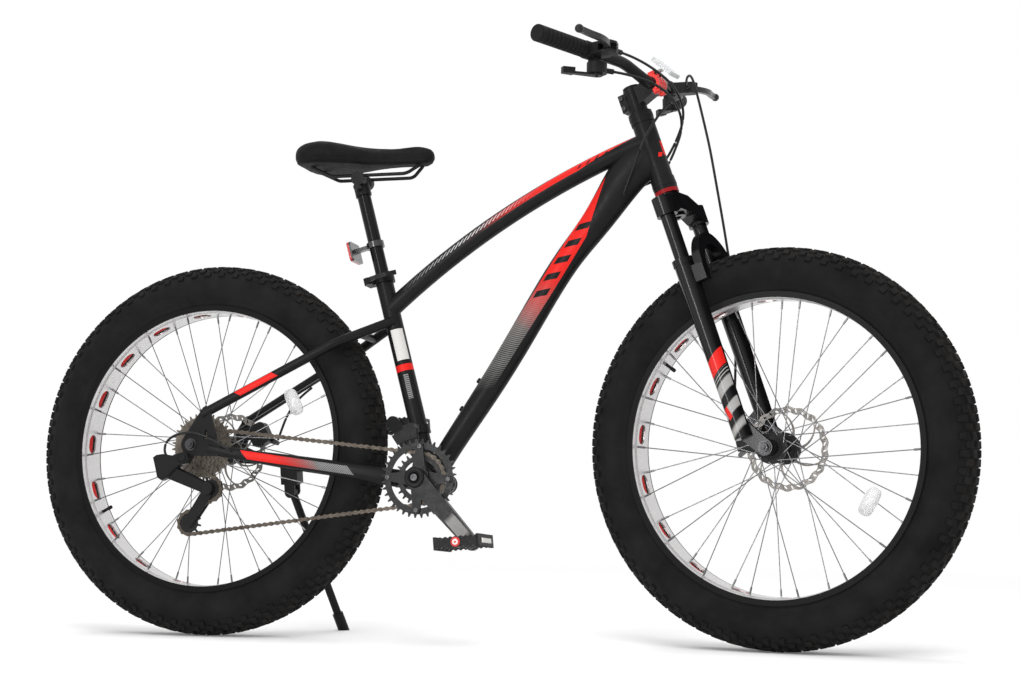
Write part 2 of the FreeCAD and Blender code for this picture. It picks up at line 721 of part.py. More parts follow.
def chain_stay_stations():
    """Left chain stay from the shell to its dropout."""
    end_y = (REAR_HUB_WIDTH + DROPOUT_THICK) / 2
    return [
        (BRACKET_X - 6, 37, BRACKET_Z - 1, 34, 22), (425, 47, BRACKET_Z + 1, 34, 20),
        (345, 61, 321, 31, 20), (222, 73, 338, 27, 18), (90, 92, 355, 22, 15), (36, end_y, 364, 21, 13),
    ]


def rear_triangle():
    """Chain stays and seat stays on both sides, their bridge, and the two dropouts."""
    beyond = vec(0, SHELL_WIDTH / 2 + CARTRIDGE_FLANGE + SPILL, 0)
    centre = vec(BRACKET_X, 0, BRACKET_Z)
    cartridge = rod(centre - beyond, centre + beyond, SHELL_BORE + CARTRIDGE_LIP + SEATED)
    end_y = (REAR_HUB_WIDTH + DROPOUT_THICK) / 2
    seat_low = vec(20, end_y, AXLE_Z + 60)
    seat_knee = vec(280, 63, 574)
    seat_high = vec(383, 12, 624)
    plates = {side: dropout(side) for side in (-1, 1)}
    left_chain = oval_tube(chain_stay_stations(), TUBE_WALL).cut(shell_solid()).cut(cartridge)
    left_chain = main_solid(left_chain.cut(plates[1]))
    outer = bent_rod([seat_low, seat_knee, seat_high], STAY_RADIUS, [90.0])
    inner = bent_rod([seat_low, seat_knee, seat_high], STAY_RADIUS - TUBE_WALL, [90.0])
    left_seat = main_solid(outer.cut(inner).cut(seat_tube_solid()).cut(plates[1]))
    crossing = seat_knee + (seat_high - seat_knee) * 0.42
    bridge = rod(vec(crossing.x, -crossing.y, crossing.z), crossing, BRIDGE_RADIUS)
    bridge = main_solid(bridge.cut(outer).cut(mirrored(outer)))
    return group([left_chain, mirrored(left_chain), left_seat, mirrored(left_seat), bridge,
                  plates[-1], plates[1]])


def headset_cups():
    """Bearing cups pressed into both ends of the head tube."""
    cups = []
    for face, way in ((0, -1), (HEAD_LENGTH, 1)):
        flange = rod(vec(0, 0, face), vec(0, 0, face + way * CUP_HEIGHT), CUP_RADIUS)
        skirt = rod(vec(0, 0, face), vec(0, 0, face - way * 12), HEAD_BORE)
        bore = rod(vec(0, 0, face - way * 30), vec(0, 0, face + way * 30), STEERER_RADIUS + RUNNING)
        cups.append(flange.fuse(skirt).cut(bore))
    return moved(group(cups), HEAD_FRAME)


def bottom_bracket():
    """Bearing cartridge with a flange at each end, bored for the crank spindle."""
    half = SHELL_WIDTH / 2
    end = half + CARTRIDGE_FLANGE
    lip = SHELL_BORE + CARTRIDGE_LIP
    bore = SPINDLE_RADIUS + RUNNING
    body = turned([
        (-end, bore), (-end, lip), (-half, lip), (-half, SHELL_BORE),
        (half, SHELL_BORE), (half, lip), (end, lip), (end, bore),
    ])
    return moved(body, BRACKET)


def collar_height():
    return SEAT_TUBE_LENGTH - COLLAR_HEIGHT / 2


def seat_collar():
    """Split clamp round the top of the seat tube, with two ears and a bolt behind."""
    low, high = SEAT_TUBE_LENGTH - COLLAR_HEIGHT, SEAT_TUBE_LENGTH
    band = rod(vec(0, 0, low), vec(0, 0, high), COLLAR_RADIUS)
    ears = Part.makeBox(18, 20, COLLAR_HEIGHT - 4, vec(-COLLAR_RADIUS - 12, -10, low + 2))
    bore = rod(vec(0, 0, low - SPILL), vec(0, 0, high + SPILL), SEAT_TUBE_RADIUS)
    split = Part.makeBox(COLLAR_RADIUS + 20, 2.5, COLLAR_HEIGHT + 2 * SPILL,
                         vec(-COLLAR_RADIUS - 20, -1.25, low - SPILL))
    cam = lever_hinge()
    head = vec(cam.x, cam.y + CAM_RADIUS + SEATED, cam.z)
    end = vec(cam.x, 16, cam.z)
    bolt = rod(head, end, COLLAR_BOLT_RADIUS)
    nut = rod(vec(cam.x, 10, cam.z), end, 2 * COLLAR_BOLT_RADIUS)
    body = main_solid(band.fuse(ears).cut(bore).cut(split))
    return moved(group([body.cut(bolt), bolt.fuse(nut)]), SEAT_FRAME)


def seat_collar_lever():
    """Quick release lever: a cam barrel on the bolt's end and a bent blade along the collar's right side."""
    centre = lever_hinge()
    barrel = rod(centre - vec(0, 0, 7), centre + vec(0, 0, 7), CAM_RADIUS)
    blade = [(-4, -6), (14, -12), (44, -11), (62, -4), (64, -7), (45, -15), (12, -16)]
    corners = [vec(centre.x + x, centre.y + y, centre.z - 4.5) for x, y in blade]
    return moved(fused([barrel, prism(corners, vec(0, 0, 9))]), SEAT_FRAME)


def lever_hinge():
    """Centre of the quick release cam, on the seat tube's own axes."""
    return vec(-COLLAR_RADIUS - 5, -COLLAR_LEVER_Y, collar_height())


# Saddle and seat post

def seat_post():
    """Plain post with a thinner neck for the saddle clamp."""
    body = rod(vec(0, 0, POST_FOOT), vec(0, 0, POST_SHOULDER), POST_RADIUS)
    neck = rod(vec(0, 0, POST_SHOULDER), vec(0, 0, POST_TOP), POST_NECK_RADIUS)
    bore = rod(vec(0, 0, POST_FOOT - SPILL), vec(0, 0, POST_SHOULDER - 4), POST_RADIUS - TUBE_WALL)
    return moved(body.fuse(neck).cut(bore), SEAT_FRAME)


def saddle():
    """Padded saddle: a narrow nose, a dished middle and a broad raised tail, drawn in towards its base."""
    length = SADDLE_NOSE_X - SADDLE_TAIL_X
    stations = [
        (0.0, 58, 8, 42), (0.06, 128, 1, 52), (0.22, 158, 0, 52), (0.42, 124, 0, 40),
        (0.62, 70, 0, 33), (0.82, 50, 0, 34), (0.95, 42, 2, 35), (1.0, 22, 10, 26),
    ]
    wires = []
    for share, width, base, height in stations:
        x = SADDLE_TAIL_X + share * length
        half = width / 2
        foot, brow = 0.80 * half, 0.62 * half
        sill, top = SADDLE_UNDERSIDE + base, SADDLE_UNDERSIDE + height
        eave = top - 0.16 * (top - sill) - 0.03 * half
        belly = sill + 0.45 * (top - sill)
        left_foot, left_brow = vec(x, foot, sill), vec(x, brow, eave)
        right_foot, right_brow = vec(x, -foot, sill), vec(x, -brow, eave)
        wires.append(Part.Wire([
            Part.LineSegment(right_foot, left_foot).toShape(),
            Part.Arc(left_foot, vec(x, half, belly), left_brow).toShape(),
            Part.Arc(left_brow, vec(x, 0, top), right_brow).toShape(),
            Part.Arc(right_brow, vec(x, -half, belly), right_foot).toShape(),
        ]))
    return Part.makeLoft(wires, True, False)


def saddle_rail():
    """Left saddle rail, bent up to the saddle's base at both ends."""
    under = SADDLE_UNDERSIDE - SEATED
    return bent_rod([
        vec(SADDLE_NOSE_X - 32, 0.4 * RAIL_HALF, under), vec(SADDLE_NOSE_X - 56, RAIL_HALF, RAIL_HEIGHT),
        vec(SADDLE_TAIL_X + 78, RAIL_HALF, RAIL_HEIGHT), vec(SADDLE_TAIL_X + 36, RAIL_HALF + 6, under),
    ], RAIL_RADIUS, [24.0, 24.0])


def saddle_rails():
    """Two rails, and the clamp that holds them to the post's neck."""
    rail = saddle_rail()
    clip = Part.makeBox(SADDLE_NOSE_X - SADDLE_TAIL_X, 8 * RAIL_HALF, SADDLE_RISE,
                        vec(SADDLE_TAIL_X, -4 * RAIL_HALF, SADDLE_UNDERSIDE - SEATED))
    rails = [main_solid(rail.cut(clip)), main_solid(mirrored(rail).cut(clip))]
    centre = SEAT_FRAME.multVec(vec(0, 0, (POST_SHOULDER + POST_TOP) / 2 + 2))
    band = moved(sleeve(vec(0, 0, POST_SHOULDER + 1), vec(0, 0, POST_TOP), 16.0, POST_NECK_RADIUS + RUNNING),
                 SEAT_FRAME)
    barrel = rod(vec(centre.x, -33, centre.z), vec(centre.x, 33, centre.z), 7.0)
    cheeks = [rod(vec(centre.x, side * 14, RAIL_HEIGHT - 7), vec(centre.x, side * 29, RAIL_HEIGHT - 7), 14.0)
              for side in (-1, 1)]
    post = moved(rod(vec(0, 0, POST_FOOT), vec(0, 0, POST_TOP + 1), POST_NECK_RADIUS + RUNNING), SEAT_FRAME)
    roof = Part.makeBox(200, 200, 60, vec(centre.x - 100, -100, SADDLE_UNDERSIDE - 2))
    clamp = fused([band, barrel] + cheeks).cut(post).cut(roof)
    clamp = main_solid(clamp.cut(Part.makeCompound(rails)))
    return group(rails + [clamp])


def tail_reflector():
    """Red reflector in a holder that clips round the post."""
    height = POST_TOP - TAIL_LIGHT_DROP
    clip = sleeve(vec(0, 0, height - 6), vec(0, 0, height + 6), POST_RADIUS + 4, POST_RADIUS + RUNNING)
    stem = Part.makeBox(26, 12, 8, vec(-POST_RADIUS - 29, -6, height - 4))
    lens = Part.makeBox(8, 54, 40, vec(-POST_RADIUS - 37, -27, height - 22))
    corners = [edge for edge in lens.Edges if abs(edge.tangentAt(edge.FirstParameter).x) > 0.9]
    lens = lens.makeFillet(7.0, corners)
    return moved(fused([clip, stem, lens]), SEAT_FRAME)


# Steering and fork, drawn along the steering axis: x forward, z up from the foot of the head tube

def headset_covers():
    """Crown race below the head tube, and the cover, spacer and top cap above it."""
    bore = STEERER_RADIUS + RUNNING
    race_top = -CUP_HEIGHT - SEATED
    cover_foot = HEAD_LENGTH + CUP_HEIGHT + SEATED
    race = sleeve(vec(0, 0, race_top - RACE_HEIGHT), vec(0, 0, race_top), CUP_RADIUS - 0.5, bore)
    cover = sleeve(vec(0, 0, cover_foot), vec(0, 0, cover_foot + 5), CUP_RADIUS - 0.5, bore)
    spacer = sleeve(vec(0, 0, cover_foot + 5), vec(0, 0, STEM_FOOT), STEM_RADIUS, bore)
    cap = rod(vec(0, 0, STEM_TOP), vec(0, 0, STEM_TOP + 5), STEM_RADIUS - 1)
    return group([race, cover.fuse(spacer).removeSplitter(), cap])


def fork_crown():
    """Steerer, crown and two stanchions, pressed together."""
    race_foot = -CUP_HEIGHT - SEATED - RACE_HEIGHT
    steerer_foot = CROWN_TOP - 26
    stanchion_top = CROWN_TOP - 3
    back = LEG_OFFSET - CROWN_THICK / 2
    inside = LEG_SPREAD - SOCKET_RADIUS
    arch = [(-LEG_SPREAD, CROWN_TOP - 3), (-26, race_foot - 10), (26, race_foot - 10),
            (LEG_SPREAD, CROWN_TOP - 3), (LEG_SPREAD, CROWN_FOOT + 4), (inside, CROWN_FOOT + 6),
            (38, steerer_foot + 4),
            (-38, steerer_foot + 4), (-inside, CROWN_FOOT + 6), (-LEG_SPREAD, CROWN_FOOT + 4)]
    bridge = prism([vec(back, y, z) for y, z in arch], vec(CROWN_THICK, 0, 0))
    boss = rod(vec(0, 0, steerer_foot), vec(0, 0, race_foot), STEERER_RADIUS + 6)
    sockets = [rod(vec(LEG_OFFSET, y, CROWN_FOOT), vec(LEG_OFFSET, y, CROWN_TOP), SOCKET_RADIUS)
               for y in (-LEG_SPREAD, LEG_SPREAD)]
    steerer = sleeve(vec(0, 0, steerer_foot), vec(0, 0, STEM_TOP - 1), STEERER_RADIUS, STEERER_RADIUS - 2.5)
    bores = [rod(vec(0, 0, steerer_foot - SPILL), vec(0, 0, STEM_TOP), STEERER_RADIUS)]
    stanchions = []
    for side in (-1, 1):
        top = vec(LEG_OFFSET, side * LEG_SPREAD, stanchion_top)
        foot = vec(LEG_OFFSET, side * LEG_SPREAD, stanchion_top - STANCHION_LENGTH)
        bores.append(rod(foot, top, STANCHION_RADIUS))
        stanchions.append(sleeve(foot, top, STANCHION_RADIUS, STANCHION_RADIUS - TUBE_WALL))
    crown = fused([bridge, boss] + sockets).cut(Part.makeCompound(bores))
    return group([main_solid(crown), steerer] + stanchions)


def fork_lowers():
    """Both sliding legs with their wiper seals, the brace arch before the tyre, dropouts and brake tabs."""
    bore_foot = CROWN_TOP - 3 - STANCHION_LENGTH - FORK_TRAVEL - 10
    plate = FRONT_HUB_WIDTH / 2
    solids = []
    cuts = []
    for side in (-1, 1):
        top = vec(LEG_OFFSET, side * LEG_SPREAD, LOWERS_TOP)
        foot = vec(LEG_OFFSET, side * LEG_SPREAD, LOWERS_FOOT)
        along = foot - top
        solids.append(Part.makeCone(LOWERS_RADIUS, LOWERS_FOOT_RADIUS, along.Length, top, along))
        solids.append(rod(top - vec(0, 0, 4), top + vec(0, 0, 8), LOWERS_RADIUS + 1.5))
        solids.append(web((LEG_OFFSET, LOWERS_FOOT + 20, LOWERS_FOOT_RADIUS), (FORK_OFFSET, AXLE_DOWN, 15),
                          side * plate, side * (plate + FRONT_DROPOUT)))
        solids.append(Part.makeBox(ARCH_FRONT - LEG_OFFSET, 24, 32,
                                   vec(LEG_OFFSET, side * LEG_SPREAD - 12, LOWERS_TOP - 44)))
        cuts.append(rod(vec(LEG_OFFSET, side * LEG_SPREAD, bore_foot), top + vec(0, 0, 8 + SPILL),
                        STANCHION_RADIUS + SLIDING))
        cuts.append(rod(vec(FORK_OFFSET, side * (plate - SPILL), AXLE_DOWN),
                        vec(FORK_OFFSET, side * (plate + 3 * SPILL), AXLE_DOWN), AXLE_RADIUS + SLIDING))
    solids.append(fork_arch())
    for low, high in brake_tab_circles():
        solids.append(web(low, high, BRAKE_TAB_Y, BRAKE_TAB_Y + BRAKE_TAB_THICK))
    return main_solid(fused(solids).cut(Part.makeCompound(cuts)))


def brake_tab_circles():
    """The tabs that carry the front caliper, as pairs of circles (x, z, radius)."""
    foot = caliper_foot(CALIPER_ANGLE_FRONT)
    post = (FORK_OFFSET + foot[0], AXLE_DOWN + foot[1], 8)
    return [((LEG_OFFSET - 4, LOWERS_FOOT + 58, 9), post), ((LEG_OFFSET - 4, LOWERS_FOOT + 22, 8), post)]


def fork_arch():
    """Brace arch, wide at its feet and thin at its crest."""
    back = ARCH_FRONT - ARCH_THICK
    out, inn = LEG_SPREAD + 12, LEG_SPREAD - 12
    foot = LOWERS_TOP - 44
    hip = LOWERS_TOP + 8

    def at(y, z):
        return vec(back, y, z)

    edges = [
        Part.LineSegment(at(out, foot), at(out - 6, hip)).toShape(),
        Part.Arc(at(out - 6, hip), at(0, ARCH_CREST), at(6 - out, hip)).toShape(),
        Part.LineSegment(at(6 - out, hip), at(-out, foot)).toShape(),
        Part.LineSegment(at(-out, foot), at(-inn, foot)).toShape(),
        Part.LineSegment(at(-inn, foot), at(6 - inn, hip - 8)).toShape(),
        Part.Arc(at(6 - inn, hip - 8), at(0, ARCH_CREST - ARCH_DEPTH), at(inn - 6, hip - 8)).toShape(),
        Part.LineSegment(at(inn - 6, hip - 8), at(inn, foot)).toShape(),
        Part.LineSegment(at(inn, foot), at(out, foot)).toShape(),
    ]
    return Part.Face(Part.Wire(edges)).extrude(vec(ARCH_THICK, 0, 0))


def stem():
    """Stem: a clamp round the steerer with its pinch ears, and the back half of the handlebar clamp."""
    post = rod(vec(0, 0, STEM_FOOT), vec(0, 0, STEM_TOP), STEM_RADIUS)
    reach = prism([vec(6, -15, STEM_FOOT + 6), vec(BAR_FORWARD, -15, BAR_HEIGHT - 17),
                   vec(BAR_FORWARD, -15, BAR_HEIGHT + 17), vec(STEM_RADIUS, -15, STEM_TOP - SEATED),
                   vec(6, -15, STEM_TOP - 1)], vec(0, 30, 0))
    jaw = bar_clamp_solid()
    ears = Part.makeBox(16, 24, STEM_TOP - STEM_FOOT - 8, vec(-STEM_RADIUS - 10, -12, STEM_FOOT + 4))
    split = Part.makeBox(40, 2.5, 100, vec(-STEM_RADIUS - 30, -1.25, STEM_FOOT - 20))
    front = Part.makeBox(100, 100, 100, vec(BAR_FORWARD + 0.5, -50, BAR_HEIGHT - 50))
    cuts = [rod(vec(0, 0, STEM_FOOT - SPILL), vec(0, 0, STEM_TOP + SPILL), STEERER_RADIUS + RUNNING),
            split, front, bar_bore()]
    return main_solid(fused([post, reach, jaw, ears]).cut(Part.makeCompound(cuts)))


def bar_clamp_solid():
    half = BAR_CLAMP_HALF - 1
    return rod(vec(BAR_FORWARD, -half, BAR_HEIGHT), vec(BAR_FORWARD, half, BAR_HEIGHT), BAR_CLAMP_RADIUS + 6)


def bar_bore():
    return rod(vec(BAR_FORWARD, -BAR_CLAMP_HALF, BAR_HEIGHT), vec(BAR_FORWARD, BAR_CLAMP_HALF, BAR_HEIGHT),
               BAR_CLAMP_RADIUS + RUNNING)


def stem_faceplate():
    """Front half of the handlebar clamp, with two windows and a bolt lug at each corner."""
    back = Part.makeBox(100, 100, 100, vec(BAR_FORWARD + 0.8 - 100, -50, BAR_HEIGHT - 50))
    lugs = [rod(vec(BAR_FORWARD, y, BAR_HEIGHT + z), vec(BAR_FORWARD + 14, y, BAR_HEIGHT + z), 5.0)
            for y in (-14, 14) for z in (-18, 18)]
    windows = [Part.makeBox(30, 9, 15, vec(BAR_FORWARD + 5, y, BAR_HEIGHT - 7.5)) for y in (-12, 3)]
    body = fused([bar_clamp_solid()] + lugs)
    return main_solid(body.cut(Part.makeCompound([back, bar_bore()] + windows)))


# Handlebar and its controls

def bar_points():
    """Right half of the handlebar's centre line, from its end inwards."""
    return [
        vec(BAR_FORWARD - BAR_END_SETBACK, -BAR_HALF, BAR_HEIGHT + BAR_END_RISE),
        vec(BAR_FORWARD - BAR_SETBACK, -BAR_BEND_Y, BAR_HEIGHT + BAR_RISE),
        vec(BAR_FORWARD, -BAR_CLAMP_HALF - 17, BAR_HEIGHT),
    ]


def handlebar():
    """Riser bar, thicker where the stem grips it."""
    right = bar_points()
    left = [vec(p.x, -p.y, p.z) for p in reversed(right)]
    bends = [90.0, 60.0, 60.0, 90.0]
    bar = bent_rod(right + left, BAR_RADIUS, bends)
    core = bent_rod(right + left, BAR_RADIUS - BAR_WALL, bends)
    swell = rod(vec(BAR_FORWARD, -BAR_CLAMP_HALF, BAR_HEIGHT), vec(BAR_FORWARD, BAR_CLAMP_HALF, BAR_HEIGHT),
                BAR_CLAMP_RADIUS)
    return bar.fuse(swell).cut(core)


def control_frame():
    """Place of the right brake perch: x outwards along the bar, y the way the fingers reach, z upwards."""
    end, bend = bar_points()[:2]
    out = (end - bend).normalize()
    forward = vec(1, 0, 0)
    forward = (forward - out * forward.dot(out)).normalize()
    up = out.cross(forward)
    droop = math.radians(LEVER_DROOP)
    reach = forward * math.cos(droop) - up * math.sin(droop)
    place = end - out * (GRIP_LENGTH + PERCH_FROM_GRIP)
    return FreeCAD.Placement(place, FreeCAD.Rotation(out, reach, out.cross(reach), "XYZ"))


def both_sides(right):
    """The right hand piece and its left hand twin."""
    return [right, mirrored(right)]


def grips():
    """Ribbed rubber grips, closed at the bar's ends."""
    start = PERCH_FROM_GRIP
    solids = [rod(vec(start, 0, 0), vec(start + GRIP_LENGTH + 4, 0, 0), GRIP_RADIUS - GRIP_RIB)]
    ribs = 11
    step = GRIP_LENGTH / ribs
    for i in range(ribs):
        x = start + i * step
        solids.append(rod(vec(x, 0, 0), vec(x + step - 2.0, 0, 0), GRIP_RADIUS))
    solids.append(rod(vec(start + GRIP_LENGTH - 3, 0, 0), vec(start + GRIP_LENGTH + 3, 0, 0), GRIP_RADIUS))
    bore = rod(vec(start - SPILL, 0, 0), vec(start + GRIP_LENGTH, 0, 0), BAR_RADIUS + RUNNING)
    return group(both_sides(moved(fused(solids).cut(bore), control_frame())))


def control_unit():
    """Right hand unit: brake perch with the lever's fork and cable adjuster, and the gear shifter below."""
    half = PERCH_WIDTH / 2
    ring = rod(vec(-half, 0, 0), vec(half, 0, 0), PERCH_RADIUS)
    plan = [(-32, 10), (half, 10), (half, 40), (2, 56), (-14, 58), (-32, 48)]
    perch = prism([vec(x, y, -11) for x, y in plan], vec(0, 0, 22))
    mouth = prism([vec(x, y, -6) for x, y in ((-16, 30), (20, 30), (20, 70), (-16, 70))], vec(0, 0, 12))
    adjuster = rod(vec(-30, ADJUSTER_REACH, 0), vec(ADJUSTER_END, ADJUSTER_REACH, 0), 5.0)
    pivot = rod(vec(*LEVER_PIVOT, -11), vec(*LEVER_PIVOT, 11), LEVER_PIN_RADIUS)
    shifter = vec(-SHIFTER_FROM_PERCH, 6, -SHIFTER_DROP)
    tall = vec(0, 0, SHIFTER_HEIGHT / 2)
    housing = rod(shifter - tall, shifter + tall, SHIFTER_RADIUS)
    outlet = rod(shifter - vec(12, 0, 0), shifter + vec(SHIFTER_OUTLET, 10, 0), 5.0)
    strap = rod(vec(-SHIFTER_FROM_PERCH - 7, 0, 0), vec(-SHIFTER_FROM_PERCH + 7, 0, 0), PERCH_RADIUS - 1)
    neck = Part.makeBox(14, 20, SHIFTER_DROP - SHIFTER_HEIGHT / 2,
                        vec(-SHIFTER_FROM_PERCH - 7, -10, -SHIFTER_DROP + SHIFTER_HEIGHT / 2))
    pin = rod(shifter - vec(0, 0, SHIFTER_HEIGHT / 2 + 6), shifter, LEVER_PIN_RADIUS)
    bore = rod(vec(-80, 0, 0), vec(40, 0, 0), BAR_RADIUS + RUNNING)
    body = fused([ring, perch.cut(mouth), adjuster, pivot, housing, outlet, strap, neck, pin]).cut(bore)
    return moved(main_solid(body), control_frame())


def brake_lever():
    """Right brake lever: a pivot eye, a bowed blade and a ball at its tip."""
    tip = LEVER_LENGTH
    x, y = LEVER_PIVOT
    edges = [
        Part.Arc(vec(x - 8, y + 2, 0), vec(x, y - 8, 0), vec(x + 8, y - 3, 0)).toShape(),
        Part.Arc(vec(x + 8, y - 3, 0), vec(30, LEVER_REACH - 16, 0), vec(58, LEVER_REACH - 8, 0)).toShape(),
        Part.Arc(vec(58, LEVER_REACH - 8, 0), vec(90, LEVER_REACH - 6, 0),
                 vec(tip, LEVER_REACH - 2, 0)).toShape(),
        Part.LineSegment(vec(tip, LEVER_REACH - 2, 0), vec(tip - 2, LEVER_REACH + 5, 0)).toShape(),
        Part.Arc(vec(tip - 2, LEVER_REACH + 5, 0), vec(88, LEVER_REACH + 2, 0),
                 vec(56, LEVER_REACH + 1, 0)).toShape(),
        Part.Arc(vec(56, LEVER_REACH + 1, 0), vec(22, LEVER_REACH - 8, 0), vec(x - 8, y + 2, 0)).toShape(),
    ]
    blade = Part.Face(Part.Wire(edges)).extrude(vec(0, 0, LEVER_HEIGHT))
    blade.translate(vec(0, 0, -LEVER_HEIGHT / 2))
    ball = Part.makeSphere(LEVER_BALL_RADIUS, vec(tip, LEVER_REACH + 2, 0))
    hole = rod(vec(x, y, -20), vec(x, y, 20), LEVER_PIN_RADIUS + RUNNING)
    return moved(fused([blade, ball]).cut(hole), control_frame())


def shift_lever():
    """Right thumb lever: a ring under the shifter and a paddle below the grip's inner end."""
    x, y = -SHIFTER_FROM_PERCH, 6.0
    top = -SHIFTER_DROP - SHIFTER_HEIGHT / 2 - SEATED
    px, py = x + THUMB_REACH * 0.86, y - THUMB_REACH * 0.5
    ring = rod(vec(x, y, top - 4), vec(x, y, top), 11.0)
    arm = prism([vec(x + 2, y + 9, top - 4), vec(x - 6, y - 9, top - 4), vec(px - 12, py - 3, top - 4),
                 vec(px - 8, py + 9, top - 4)], vec(0, 0, 4))
    paddle = prism([vec(px - 14, py - 4, top - 5), vec(px + 6, py - 13, top - 5),
                    vec(px + 12, py - 2, top - 5), vec(px - 7, py + 11, top - 5)], vec(0, 0, 12))
    hole = rod(vec(x, y, top - 20), vec(x, y, top + 20), LEVER_PIN_RADIUS + RUNNING)
    return moved(fused([ring, arm, paddle]).cut(hole), control_frame())


def front_reflector():
    """Clear reflector on a short arm over the stem's clamp."""
    seat = BAR_HEIGHT + BAR_CLAMP_RADIUS + 6 + SEATED
    plate = Part.makeBox(8, 44, 54, vec(-4, -22, -27))
    corners = [edge for edge in plate.Edges if abs(edge.tangentAt(edge.FirstParameter).x) > 0.9]
    plate = plate.makeFillet(6.0, corners)
    tilt = FreeCAD.Placement(vec(BAR_FORWARD + 33, 0, seat + 2), FreeCAD.Rotation(Y_AXIS, -30.0))
    arm = Part.makeBox(36, 10, 4, vec(BAR_FORWARD - 6, -5, seat))
    return fused([moved(plate, tilt), arm])


# Disc brake calipers, drawn about their axle

def caliper_point(angle, radial, tangential):
    """(x, z) from the axle of a point given along and across the caliper's own direction."""
    a = math.radians(angle)
    return (radial * math.cos(a) - tangential * math.sin(a), radial * math.sin(a) + tangential * math.cos(a))


def caliper_foot(angle):
    return caliper_point(angle, *(FRONT_LUG if angle == CALIPER_ANGLE_FRONT else REAR_LUG))


def caliper(angle, rotor_y, seat_y):
    """Caliper body slotted over the rotor, the lug that bolts it on, and the pin of its arm."""
    inner = rotor_y - CALIPER_HALF - 3
    outer = rotor_y + CALIPER_HALF
    half = CALIPER_LENGTH / 2
    body = Part.makeBox(40, outer - inner, CALIPER_LENGTH, vec(CALIPER_CENTRE - 17, inner, -half))
    corners = [edge for edge in body.Edges if abs(edge.tangentAt(edge.FirstParameter).y) > 0.9]
    body = body.makeFillet(11.0, corners)
    play = ROTOR_THICK / 2 + SEATED
    slot = Part.makeBox(ROTOR_RADIUS + 1, 2 * play, 4 * half, vec(0, rotor_y - play, -2 * half))
    arm_top = outer + CALIPER_ARM_THICK + 2 * SEATED
    pin = rod(vec(CALIPER_CENTRE, outer - 4, 0), vec(CALIPER_CENTRE, arm_top, 0), CALIPER_PIN_RADIUS)
    radial, tangential = FRONT_LUG if angle == CALIPER_ANGLE_FRONT else REAR_LUG
    lug = web((radial, tangential, 7), (CALIPER_CENTRE, 0, 9), rotor_y + play + 1, outer - 1)
    post = rod(vec(radial, rotor_y + play + 1, tangential), vec(radial, seat_y, tangential), 7.0)
    whole = fused([body.cut(slot), pin, lug, post])
    return moved(whole, FreeCAD.Placement(vec(0, 0, 0), FreeCAD.Rotation(Y_AXIS, -angle)))


def caliper_arm(angle, rotor_y, heading):
    """Actuating arm that the cable pulls."""
    y = rotor_y + CALIPER_HALF + SEATED
    x, z = caliper_point(angle, CALIPER_CENTRE, 0)
    tip = (x + CALIPER_ARM_LENGTH * math.cos(math.radians(heading)),
           z + CALIPER_ARM_LENGTH * math.sin(math.radians(heading)))
    arm = web((x, z, 9), (*tip, 4.5), y, y + CALIPER_ARM_THICK)
    hole = rod(vec(x, y - SPILL, z), vec(x, y + 2 * SPILL, z), CALIPER_PIN_RADIUS + RUNNING)
    return arm.cut(hole).removeSplitter()


# Gears and chain, laid out in the plane of the chain as (x, z)

def pitch_radius(teeth):
    return PITCH / (2 * math.sin(math.pi / teeth))


def sprocket(teeth, y_from, y_to, bore, phase):
    """Toothed plate about the y axis, with a roller gap at the phase angle."""
    r = pitch_radius(teeth)
    gap = ((-FLANK_HALF, TOOTH_TIP), (-ROOT_HALF, -ROLLER_RADIUS - ROOT_PLAY),
           (ROOT_HALF, -ROLLER_RADIUS - ROOT_PLAY), (FLANK_HALF, TOOTH_TIP))
    points = []
    for k in range(teeth):
        a = phase + 2 * math.pi * k / teeth
        for across, rise in gap:
            points.append(vec((r + rise) * math.cos(a) - across * math.sin(a), y_from,
                              (r + rise) * math.sin(a) + across * math.cos(a)))
    plate = prism(points, vec(0, y_to - y_from, 0))
    return plate.cut(rod(vec(0, y_from - SPILL, 0), vec(0, y_to + SPILL, 0), bore))


def tangent_run(first, second):
    """Straight run between two circles (x, z, radius, way round), as its start, its end and its normal."""
    (ax, az, ar, aw), (bx, bz, br, bw) = first, second
    gap = math.hypot(bx - ax, bz - az)
    heading = math.atan2(bz - az, bx - ax) - math.asin((bw * br - aw * ar) / gap)
    nx, nz = math.sin(heading), -math.cos(heading)
    return (ax + aw * ar * nx, az + aw * ar * nz), (bx + bw * br * nx, bz + bw * br * nz), (nx, nz)


def chain_circles(cage_angle):
    """Cog, ring, tension pulley and guide pulley in the order that the chain meets them."""
    a = math.radians(cage_angle)
    guide = (GUIDE_X, AXLE_Z - GUIDE_DROP)
    tension = (guide[0] + CAGE_LENGTH * math.cos(a), guide[1] + CAGE_LENGTH * math.sin(a))
    wheels = ((0.0, AXLE_Z, COG_TEETH[CHAIN_COG], -1), (BRACKET_X, BRACKET_Z, RING_TEETH, -1),
              (*tension, PULLEY_TEETH, -1), (*guide, PULLEY_TEETH, 1))
    return [(x, z, pitch_radius(n), way) for x, z, n, way in wheels], [n for _, _, n, _ in wheels]


def chain_stretches(cage_angle):
    """The chain's straight and round stretches, each with its length in links."""
    circles, teeth = chain_circles(cage_angle)
    runs = [tangent_run(circles[i], circles[(i + 1) % 4]) for i in range(4)]
    stretches = []
    for i in range(4):
        start, end, _ = runs[i]
        stretches.append(("run", start, end, math.dist(start, end) / PITCH))
        x, z, r, way = circles[(i + 1) % 4]
        enter = math.atan2(way * runs[i][2][1], way * runs[i][2][0])
        leave = math.atan2(way * runs[(i + 1) % 4][2][1], way * runs[(i + 1) % 4][2][0])
        sweep = (way * (leave - enter)) % (2 * math.pi)
        stretches.append(("arc", (x, z, r, way), enter, sweep * teeth[(i + 1) % 4] / (2 * math.pi)))
    return stretches


